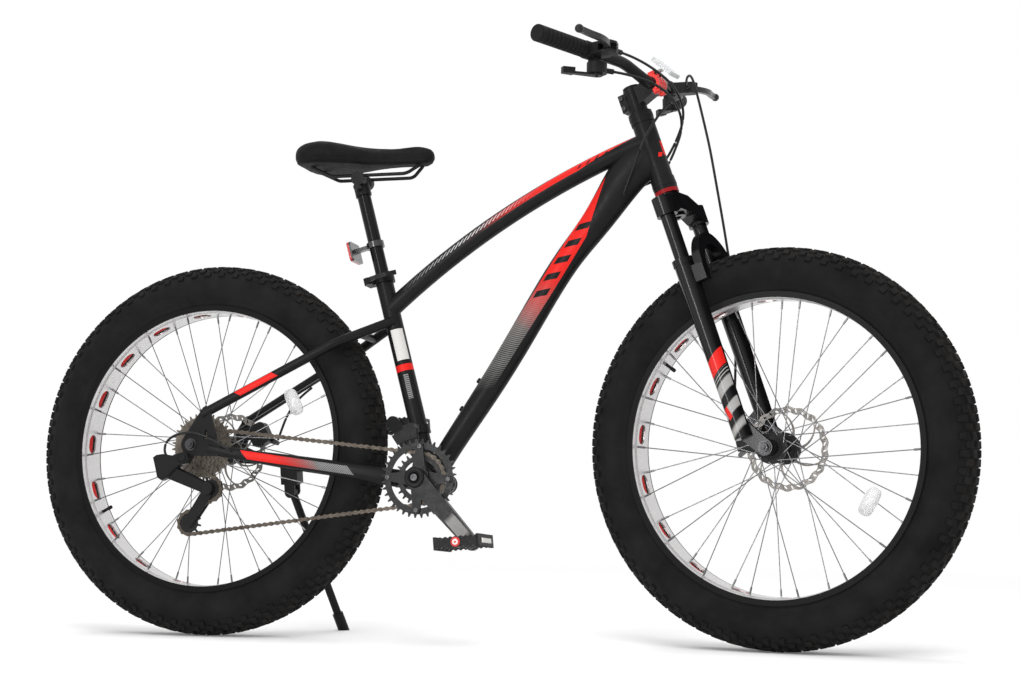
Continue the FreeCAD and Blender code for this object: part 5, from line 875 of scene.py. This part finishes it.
def rotor_mesh(y):
    """Brake track on raked arms from a bolted carrier."""
    track = rotor_track()
    carrier = [(-CARRIER_HALF, 17.0), (-CARRIER_HALF, 27.0), (CARRIER_HALF, 27.0), (CARRIER_HALF, 17.0)]

    def build(work):
        work.from_mesh(track)
        bmesh.ops.transform(work, matrix=spin(90, "X"), verts=work.verts)
        ring_strip(work, carrier, 72)
        for start in turns(ROTOR_ARMS):
            rows = []
            for k in range(9):
                s = k / 8
                a = start + 0.62 * s ** 1.3
                r = 24.0 + 45.0 * s
                half = (5.2 - 1.8 * s) / 2 / r
                corners = ((-half, -0.8), (half, -0.8), (half, 0.8), (-half, 0.8))
                rows.append([work.verts.new(mm(r * math.cos(a + w), lift, r * math.sin(a + w)))
                             for w, lift in corners])
            skin(work, rows)
        bmesh.ops.translate(work, vec=(0, y * MM, 0), verts=work.verts)
    made = mesh_from("rotor", build)
    bpy.data.meshes.remove(track)
    return made


def dress_wheels():
    lens = wheel_lens()
    strip = two_tone("rim_strip", OWN, 1, -7.0, 7.0, (0.50, 0.012, 0.010), 0.6, 0.2)
    for wheel, matrix in WHEELS.items():
        body = wheel + "_wheel"
        rubber = piece(wheel + "_tyre_dressed", tyre_mesh(), TYRE, body, matrix, False)
        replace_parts(rubber, wheel + "_tyre")
        edges = ((-STRIP_HALF, STRIP_RADIUS), (STRIP_HALF, STRIP_RADIUS), (STRIP_HALF, STRIP_TOP),
                 (-STRIP_HALF, STRIP_TOP))
        piece(wheel + "_rim_strip", lathe("rim_strip", edges, 96, True), strip, body, matrix)
        inwards = matrix @ spin(VALVE_TURN) @ shift(0, 0, VALVE_RADIUS) @ spin(-90, "X")
        piece(wheel + "_valve", valve_mesh(), RUBBER, body, inwards)
        spot = matrix @ spin(REFLECTOR_TURN[wheel]) @ shift(0, REFLECTOR_Y, REFLECTOR_RADIUS)
        piece(wheel + "_wheel_reflector", wheel_reflector_mesh(), lens, body, spot)
        disc = rotor_mesh(ROTOR_Y[wheel])
        rotor = piece(wheel + "_rotor_dressed", disc, ROTOR, body, matrix, False)
        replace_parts(rotor, wheel + "_rotor")
        heads = []
        for k in range(ROTOR_ARMS):
            a = 2 * math.pi * (k + 0.5) / ROTOR_ARMS
            place = matrix @ mm(ROTOR_SCREWS * math.cos(a), ROTOR_Y[wheel] + CARRIER_HALF,
                                ROTOR_SCREWS * math.sin(a))
            heads.append((place, matrix.col[1].xyz, 3.0, 2.2))
        screw_heads(wheel + "_rotor_screws", body, heads, STEEL)


# Drive

def chain_rollers():
    """(x, z, stretch) of every roller, one pitch apart round the cog, the ring and both pulleys.

    Stretch 0 is the top run, 1 the ring, 2 the low run, 3 the tension pulley, 4 the run between the pulleys,
    5 the guide pulley, 6 the rise to the cog and 7 the cog.
    """
    circles = []
    for joint, teeth, way in WHEELS_OF_CHAIN:
        spot = DESIGN.inverted() @ joint_place(joint) / MM
        circles.append((spot.x, spot.z, PITCH / 2 / math.sin(math.pi / teeth), way))
    runs = []
    for (ax, az, ar, aw), (bx, bz, br, bw) in zip(circles, circles[1:] + circles[:1]):
        heading = math.atan2(bz - az, bx - ax) - math.asin((bw * br - aw * ar) / math.hypot(bx - ax, bz - az))
        nx, nz = math.sin(heading), -math.cos(heading)
        leave = (ax + aw * ar * nx, az + aw * ar * nz)
        reach = (bx + bw * br * nx, bz + bw * br * nz)
        runs.append((leave, reach, (nx, nz)))
    places = []
    done = 0.0

    def lay(stretch, links, at):
        nonlocal done
        k = math.ceil(done - 1e-6)
        while k < done + links - 1e-6:
            places.append((*at((k - done) / links), stretch))
            k += 1
        done += links

    for i in range(4):
        follower = (i + 1) % 4
        (ax, az), (bx, bz), normal = runs[i]
        lay(2 * i, math.hypot(bx - ax, bz - az) / PITCH, lambda s: (ax + (bx - ax) * s, az + (bz - az) * s))
        x, z, r, way = circles[follower]
        after = runs[follower][2]
        enter = math.atan2(way * normal[1], way * normal[0])
        sweep = (way * (math.atan2(way * after[1], way * after[0]) - enter)) % (2 * math.pi)
        lay(2 * i + 1, sweep * WHEELS_OF_CHAIN[follower][1] / (2 * math.pi),
            lambda s: (x + r * math.cos(enter + way * sweep * s), z + r * math.sin(enter + way * sweep * s)))
    return places


def chain_mesh(places, picked):
    """Waisted plates, rollers and rivets of some of the chain's links."""
    end, waist, roller, rivet, thick = 4.2, 2.1, 3.8, 1.9, 0.9
    eight = []
    for centre, first, way in ((0.0, 60, -1), (PITCH, 240, 1)):
        for k in range(9):
            a = math.radians(first + 30 * k)
            eight.append((centre + end * math.cos(a), end * math.sin(a)))
        eight.append((PITCH / 2, way * waist))

    def build(work):
        for k in picked:
            x, z = places[k][:2]
            nx, nz = places[(k + 1) % len(places)][:2]
            along = Vector((nx - x, 0, nz - z)).normalized()
            side = Vector((0, 1, 0))
            spot = DESIGN @ axes(mm(x, CHAIN_Y, z), along, side, along.cross(side))
            plate(work, spot, round_outline(roller, 12), -1.25, 1.25)
            outer_link = k % 2
            near = 2.28 if outer_link else 1.3
            for way in (-1, 1):
                plate(work, spot, eight, way * near, way * (near + thick))
                if outer_link:
                    for pin in (0.0, PITCH):
                        plate(work, spot, round_outline(rivet, 10, pin), way * 3.1, way * 3.6)
    return mesh_from("chain", build)


def chain():
    """The chain in stretches: some ride with a body, and the free runs, which lie between two, are left where
    they lie at rest.
    """
    places = chain_rollers()
    low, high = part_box("front_derailleur_cage")
    gate = (DESIGN.inverted() @ ((Vector(low) + Vector(high)) / 2) / MM).x

    def pick(*stretches, ahead=None):
        """Links of some stretches, or only those ahead of the place where a run parts, or behind it."""
        limit = gate if 0 in stretches else CAGE_REACH
        return [k for k, (x, z, stretch) in enumerate(places)
                if stretch in stretches and (ahead is None or (x > limit) == ahead)]

    def place(k):
        return design(places[k][0], CHAIN_Y, places[k][1])

    for name, picked, body in (("chain_wrapped", pick(1, 7), "frame"),
                               ("chain_guided", pick(5), "shift_knuckle"),
                               ("chain_caged", pick(3, 4), "tension_cage")):
        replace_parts(piece(name, chain_mesh(places, picked), CHAIN, body, smooth=False), "chain")
    for name, picked, first, second in (
            ("chain_top_rear", pick(0, ahead=False), "frame", "front_shift_cage"),
            ("chain_top_front", pick(0, ahead=True), "front_shift_cage", "frame"),
            ("chain_low_front", pick(2, ahead=True), "frame", "shift_knuckle"),
            ("chain_low_rear", pick(2, ahead=False), "shift_knuckle", "tension_cage"),
            ("chain_rise", pick(6), "shift_knuckle", "frame")):
        run = piece(name, chain_mesh(places, picked), CHAIN, None, smooth=False)
        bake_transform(run)
        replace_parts(run, "chain")


def pedal_mesh(side):
    """Cage pedal: toothed bars before and behind a stepped barrel, end plates and a rib."""
    teeth = [(102.0 + 4.0 * k, 9.2 if k % 2 else 12.0) for k in range(23)]
    bar = teeth + [(y, -z) for y, z in reversed(teeth)]
    crest = [(-40.0 + 5.0 * k, 8.0 if k % 2 else 11.0) for k in range(17)]
    end = crest + [(x, -z) for x, z in reversed(crest)]

    def build(work):
        for front, back in ((44.0, 38.5), (-44.0, -38.5)):
            plate(work, spin(90, "Z"), bar, -front, -back)
        for y_from, y_to in ((101.0, 106.0), (143.0, 150.0), (186.5, 192.0)):
            plate(work, OWN, end, y_from, y_to)
        ring_strip(work, [(100.6, 5.0), (100.6, 11.0), (118.0, 11.0), (124.0, 8.5), (170.0, 8.5),
                          (176.0, 10.5), (192.4, 10.5), (192.4, 5.0)], 28)
        bmesh.ops.scale(work, vec=(1, side, 1), verts=work.verts)
    return mesh_from("pedal", build)


def pedal_reflector_mesh(side):
    """A lens on the front and on the back of a pedal."""
    def build(work):
        for x in (-44.6, 44.6):
            plate(work, shift(x, side * 146.0, 0), [(-1.2, -5), (1.2, -4), (1.2, 4), (-1.2, 5)], -26.0, 26.0)
    return mesh_from("pedal_reflector", build)


def dress_drive():
    chain()
    cap = pedal_cap_paint()
    lens = plain("pedal_lens", (0.62, 0.61, 0.58), 0.2, 0.0, 0.6, 500.0, 0.1, coat=0.2)
    bolts = []
    for side, name in SIDES:
        a = math.radians(CRANK_ANGLE + (0 if side < 0 else 180))
        spot = BRACKET @ shift(CRANK_LENGTH * math.cos(a), 0, CRANK_LENGTH * math.sin(a)) @ spin(PEDAL_TILT)
        pedal, body = "pedal_" + name, name + "_pedal"
        cage = piece(pedal + "_dressed", pedal_mesh(side), PLASTIC, body, spot, False)
        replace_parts(cage, pedal)
        piece(pedal + "_reflectors", pedal_reflector_mesh(side), lens, body, spot, False)
        lid = [(side * y, r) for y, r in ((192.5, 9.0), (194.4, 9.0), (195.4, 7.6), (195.4, 0.3))]
        piece(pedal + "_cap", lathe("pedal_cap", lid, 28), cap, body, spot)
        hub = ((99.0, 20.0), (101.4, 19.6), (103.0, 17.4), (103.0, 10.5), (100.8, 10.0), (100.8, 0.3))
        boss = lathe("crank_boss", [(side * y, r) for y, r in hub], 40)
        piece("crank_boss_" + name, boss, MATTE, "crankset", BRACKET)
        bolts.append((BRACKET @ mm(0, side * 100.8, 0), LEFT * side, 7.0, 3.0))
    screw_heads("crank_bolts", "crankset", bolts, DARK_STEEL)
    bolts = []
    for k in range(4):
        a = math.radians(CRANK_ANGLE + 45.0 + 90.0 * k)
        place = BRACKET @ mm(RING_BOLTS * math.cos(a), RING_BOLTS_Y, RING_BOLTS * math.sin(a))
        bolts.append((place, LEFT * -1, 4.6, 2.0))
    screw_heads("ring_bolts", "crankset", bolts, DARK_STEEL)
    derailleur()


def derailleur():
    """Outer body on the hanger, and the wide link towards the lower knuckle across the cogs, left where it lies
    at rest.
    """
    shape = [(-73, 345), (-66, 350), (-52, 352), (-30, 349), (-14, 355), (-2, 353), (4, 345), (1, 334),
             (-12, 331), (-24, 322), (-38, 306), (-52, 300), (-62, 306), (-66, 322)]
    start, end = design(-46, -112, 322), design(28, -83, 288)

    def body(work):
        plate(work, DESIGN, shape, -103.5, -118.0)
        inset = [(-34 + (x + 34) * 0.86, 328 + (z - 328) * 0.84) for x, z in shape]
        plate(work, DESIGN, inset, -118.0, -120.0)

    def link(work):
        along = (end - start).normalized()
        rise = along.cross(LEFT * -1).normalized()
        out = rise.cross(along)
        ring = ((-1, -0.5), (-0.75, -1), (0.75, -1), (1, -0.5), (1, 0.5), (0.75, 1), (-0.75, 1), (-1, 0.5))
        rows = []
        for k in range(9):
            t = k / 8
            centre = start + (end - start) * t
            tall, thick = (15.0 - 3.5 * t) * MM, (7.5 - 0.8 * t) * MM
            rows.append([work.verts.new(centre + rise * tall * u + out * thick * v) for u, v in ring])
        skin(work, rows)

    made = {}
    for name, build, ridden in (("derailleur_body", body, "frame"), ("derailleur_link", link, None)):
        made[name] = piece(name, mesh_from(name, build), MATTE, ridden, smooth=False)
    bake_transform(made["derailleur_link"])
    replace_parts(made["derailleur_link"], "derailleur_links")


# Bar and cables

def control_axes():
    """The right control unit's axes: x outwards along the bar, y the way the fingers reach, z upwards."""
    out = (BAR_END - BAR_BEND).normalized()
    ahead = Vector((1, 0, 0))
    ahead = (ahead - out * ahead.dot(out)).normalized()
    up = out.cross(ahead)
    droop = math.radians(LEVER_DROOP)
    reach = ahead * math.cos(droop) - up * math.sin(droop)
    return axes(BAR_END - out * CONTROL_INSET, out, reach, out.cross(reach))


def on_bar(side, x, y, z):
    place = control_axes() @ Vector((x, y, z))
    return steer(place.x, -side * place.y, place.z)


def dress_bar():
    """Screws of the stem and its faceplate, and the plugs in the ends of the bar."""
    left, up = (STEER.col[k].xyz for k in (1, 2))
    heads = [(steer(60.1, y, BAR_HEIGHT + z), AHEAD, 3.4, 2.6) for y in (-14, 14) for z in (-18, 18)]
    heads += [(steer(-22.0, -12.1, z), left * -1, 4.2, 4.0) for z in (168.0, 188.0)]
    heads.append((steer(0, 0, 205.0), up, 4.6, 2.6))
    screw_heads("stem_screws", "steering", heads, DARK_STEEL)
    rubber = two_tone("bar_plug", OWN, 1, -0.1, 0.9, (0.075, 0.028, 0.012), 0.6, 0.2)
    profile = [(0.0, 13.0), (1.4, 12.6), (2.0, 11.6), (1.6, 8.2), (0.5, 7.6), (0.5, 0.3)]
    for side, name in SIDES:
        out = (on_bar(side, 140, 0, 0) - on_bar(side, 100, 0, 0)).normalized()
        first = out.orthogonal().normalized()
        spot = axes(on_bar(side, CONTROL_INSET + 0.2, 0, 0), first, out, first.cross(out))
        piece("bar_plug_" + name, lathe("bar_plug", profile, 32), rubber, "steering", spot)


def cables():
    """Housings along the routes of the solids."""
    brake_outlet, brake_away = (-50.3, 40, 0), (-86, 42, 0)
    gear_outlet, gear_away = (-58.3, 16.1, -31.0), (-92.3, 30.0, -31.0)
    routes = {
        "cable_rear_brake": ([on_bar(-1, *brake_outlet), on_bar(-1, *brake_away)],
                             ((84, -62, 186), (88, -4, 160), (72, 44, 122), (32, 50, 80)),
                             ((4, 40, 48), (-24, 29, 36), (-50, 24.2, 34))),
        "cable_rear_gear": ([on_bar(-1, *gear_outlet), on_bar(-1, *gear_away)],
                            ((74, -62, 164), (79, -6, 138), (62, 42, 104), (26, 46, 64)),
                            ((2, 38, 32), (-24, 28.5, 20), (-46, 24.2, 20))),
        "cable_front_gear": ([on_bar(1, *gear_outlet), on_bar(1, *gear_away)],
                             ((74, 66, 166), (75, 8, 150), (58, -36, 126), (18, -46, 94)),
                             ((-22, -40, 64), (-52, -29, 30), (-78, -24.4, 2))),
    }
    for name, (start, stem, head) in routes.items():
        points = start + [steer(*place) for place in stem] + [HEAD_TUBE @ mm(*place) for place in head]
        housing(name, nurbs_path(points), ("steering", "frame"), "control_cables")
    gear = [design(*place) for place in ((88, -102.6, 358), (36, -111, 391), (-12, -115, 396),
                                         (-48, -115, 380), (-52, -113, 352), (-34, -112, 342),
                                         (-19.4, -112, 343))]
    housing("cable_gear_tail", nurbs_path(gear), ("frame",), "control_cables")
    brake = [design(*place) for place in ((175.9, 78, 503.1), (140, 88, 481), (116, 93, 446), (104, 93, 412),
                                          (99.43, 92, 397.3))]
    housing("cable_brake_tail", nurbs_path(brake), ("frame", "rear_arm"),
            "control_cables")
    leg, tail = (2, 104, -310), (-18, 98, -370)
    fork = [on_bar(1, *brake_outlet)]
    for place in ((72, 130, 222), (92, 104, 214), (96, 86, 170), (92, 80, 110), (86, 78, 50), (74, 84, -10),
                  (60, 96, -70), (46, 106, -130), (34, 108, -190), (20, 107, -250), leg, tail,
                  (-36, 88, -425), (-47, 74, -475), (-51, 65, -505), (-51.5, 63.8, -523.3)):
        fork.append(steer(*place))
    route = nurbs_path(fork)
    split = min(range(len(route)), key=lambda k: (route[k] - steer(*tail)).length)
    housing("cable_front_brake", route[:split + 1], ("steering", "lower_legs"),
            "front_brake_cable")
    housing("cable_front_brake_tail", route[split:], ("lower_legs", "front_arm"),
            "front_brake_cable")


# Saddle

def bake(thing):
    """Apply every modifier to the object's own mesh."""
    depsgraph = bpy.context.evaluated_depsgraph_get()
    made = bpy.data.meshes.new_from_object(thing.evaluated_get(depsgraph))
    thing.modifiers.clear()
    old = thing.data
    thing.data = made
    bpy.data.meshes.remove(old)


def saddle():
    """The foam swells its cover in a short cloth simulation; the edge seam is pressed in afterwards."""
    mesh = frame["nodes"]["saddle"].data.copy()
    pad = bpy.data.objects.new("saddle_pad", mesh)
    scene.collection.objects.link(pad)
    bpy.context.view_layer.objects.active = pad
    centre = sum((v.co for v in mesh.vertices), Vector()) / len(mesh.vertices)
    for vertex in mesh.vertices:
        vertex.co = centre + (vertex.co - centre) * 0.985
    remesh = pad.modifiers.new("even", "REMESH")
    remesh.mode = "VOXEL"
    remesh.voxel_size = 4.5 * MM
    bake(pad)
    start = [v.co.copy() for v in pad.data.vertices]
    cloth = pad.modifiers.new("swell", "CLOTH")
    cloth.settings.use_pressure = True
    cloth.settings.uniform_pressure_force = 4.0
    cloth.settings.effector_weights.gravity = 0.0
    for step in range(1, SWELL_FRAMES + 1):
        scene.frame_set(step)
    bake(pad)
    scene.frame_set(1)
    up = DESIGN.col[2].xyz.normalized()
    floor = design(300, 0, SADDLE_FLOOR).dot(up) + 0.4 * MM
    limit = SWELL_LIMIT * MM
    for vertex, home in zip(pad.data.vertices, start):
        step = vertex.co - home
        if step.length > limit:
            step *= limit / step.length
        place = home + step
        sunk = floor - place.dot(up)
        if sunk > 0:
            place += up * sunk
        vertex.co = place
    smooth = pad.modifiers.new("soften", "SMOOTH")
    smooth.factor = 0.5
    smooth.iterations = 6
    fine = pad.modifiers.new("fine", "SUBSURF")
    fine.levels = 1
    fine.render_levels = 1
    bake(pad)
    inverse = DESIGN.inverted()
    for vertex in pad.data.vertices:
        seam = abs((inverse @ vertex.co / MM).z - SADDLE_SEAM)
        if seam < SEAM_HALF:
            vertex.co -= vertex.normal * (SEAM_DEPTH * MM * (1 - (seam / SEAM_HALF) ** 2))
    pad.data.materials.clear()
    pad.data.materials.append(saddle_cover())
    pad.data.shade_smooth()
    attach(pad, "seat")
    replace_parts(pad, "saddle")


# Stage

def ground():
    """Pale floor that fades into the white surroundings."""
    mesh = mesh_from("floor", lambda work: bmesh.ops.create_grid(work, x_segments=1, y_segments=1, size=30.0))
    floor = bpy.data.objects.new("floor", mesh)
    scene.collection.objects.link(floor)
    paint = Paint("floor", 0.9, 0.0, 0.0)
    x, y, z = paint.on(OWN)
    glow = paint.add("ShaderNodeEmission")
    glow.inputs["Color"].default_value = (1, 1, 1, 1)
    blend = paint.add("ShaderNodeMixShader")
    sources = (paint.ramp(paint.radius(x, y), 1100.0, 2600.0), paint.shader.outputs[0], glow.outputs[0])
    for source, socket in zip(sources, blend.inputs):
        paint.plug(source, socket)
    paint.plug(blend.outputs[0], paint.tree.nodes["Material Output"].inputs["Surface"])
    mesh.materials.append(paint.layers((0.93, 0.93, 0.93)))


def surroundings():
    """White to the camera and in reflections, and dimmer as a light."""
    world = bpy.data.worlds.new("studio")
    scene.world = world
    world.use_nodes = True
    tree = world.node_tree
    sky = tree.nodes["Background"]
    sky.inputs["Color"].default_value = (1, 1, 1, 1)
    rays = tree.nodes.new("ShaderNodeLightPath")
    seen = rays.outputs["Is Camera Ray"]
    for name in ("Is Glossy Ray", "Is Transmission Ray"):
        either = tree.nodes.new("ShaderNodeMath")
        either.operation = "MAXIMUM"
        tree.links.new(seen, either.inputs[0])
        tree.links.new(rays.outputs[name], either.inputs[1])
        seen = either.outputs[0]
    level = tree.nodes.new("ShaderNodeMapRange")
    tree.links.new(seen, level.inputs[0])
    level.inputs[3].default_value = 0.55
    level.inputs[4].default_value = 1.0
    tree.links.new(level.outputs[0], sky.inputs["Strength"])


def lights():
    """Two soft lights, and a tall strip that alone is seen in reflections and casts no shadow."""
    aim = Vector((0, 0, 0.5))
    for name, place, width, height, power in (("key", (1.2, -2.4, 3.4), 2.6, 2.6, 95.0),
                                              ("top", (-0.8, 0.6, 3.6), 3.0, 3.0, 70.0),
                                              ("strip", (-0.9, -2.9, 1.3), 0.22, 2.6, 36.0)):
        light = bpy.data.lights.new(name, "AREA")
        light.shape = "RECTANGLE"
        light.size, light.size_y = width, height
        light.energy = power
        light.use_shadow = name != "strip"
        lamp = bpy.data.objects.new(name, light)
        lamp.visible_glossy = name == "strip"
        scene.collection.objects.link(lamp)
        lamp.location = place
        lamp.rotation_euler = (aim - Vector(place)).to_track_quat("-Z", "Y").to_euler()


def camera():
    """The photograph's camera."""
    away = Vector((-math.sin(EYE_TURN) * math.cos(EYE_PITCH), math.cos(EYE_TURN) * math.cos(EYE_PITCH),
                   -math.sin(EYE_PITCH)))
    right = Vector((math.cos(EYE_TURN), math.sin(EYE_TURN), 0.0))
    up = right.cross(away)
    level = right * math.cos(EYE_ROLL) + up * math.sin(EYE_ROLL)
    upright = up * math.cos(EYE_ROLL) - right * math.sin(EYE_ROLL)
    turn = DESIGN.to_3x3()
    data = bpy.data.cameras.new("camera")
    data.sensor_fit = "HORIZONTAL"
    data.sensor_width = SENSOR
    data.lens = FOCAL_PIXELS * SENSOR / PHOTO_WIDTH
    data.clip_end = 100.0
    thing = bpy.data.objects.new("camera", data)
    scene.collection.objects.link(thing)
    thing.matrix_world = axes(design(*EYE), turn @ level, turn @ upright, turn @ (away * -1))
    scene.camera = thing


ground()
surroundings()
lights()
scene.view_settings.view_transform = "Standard"
camera()
dress_nodes()
dress_wheels()
dress_drive()
dress_bar()
saddle()
cables()
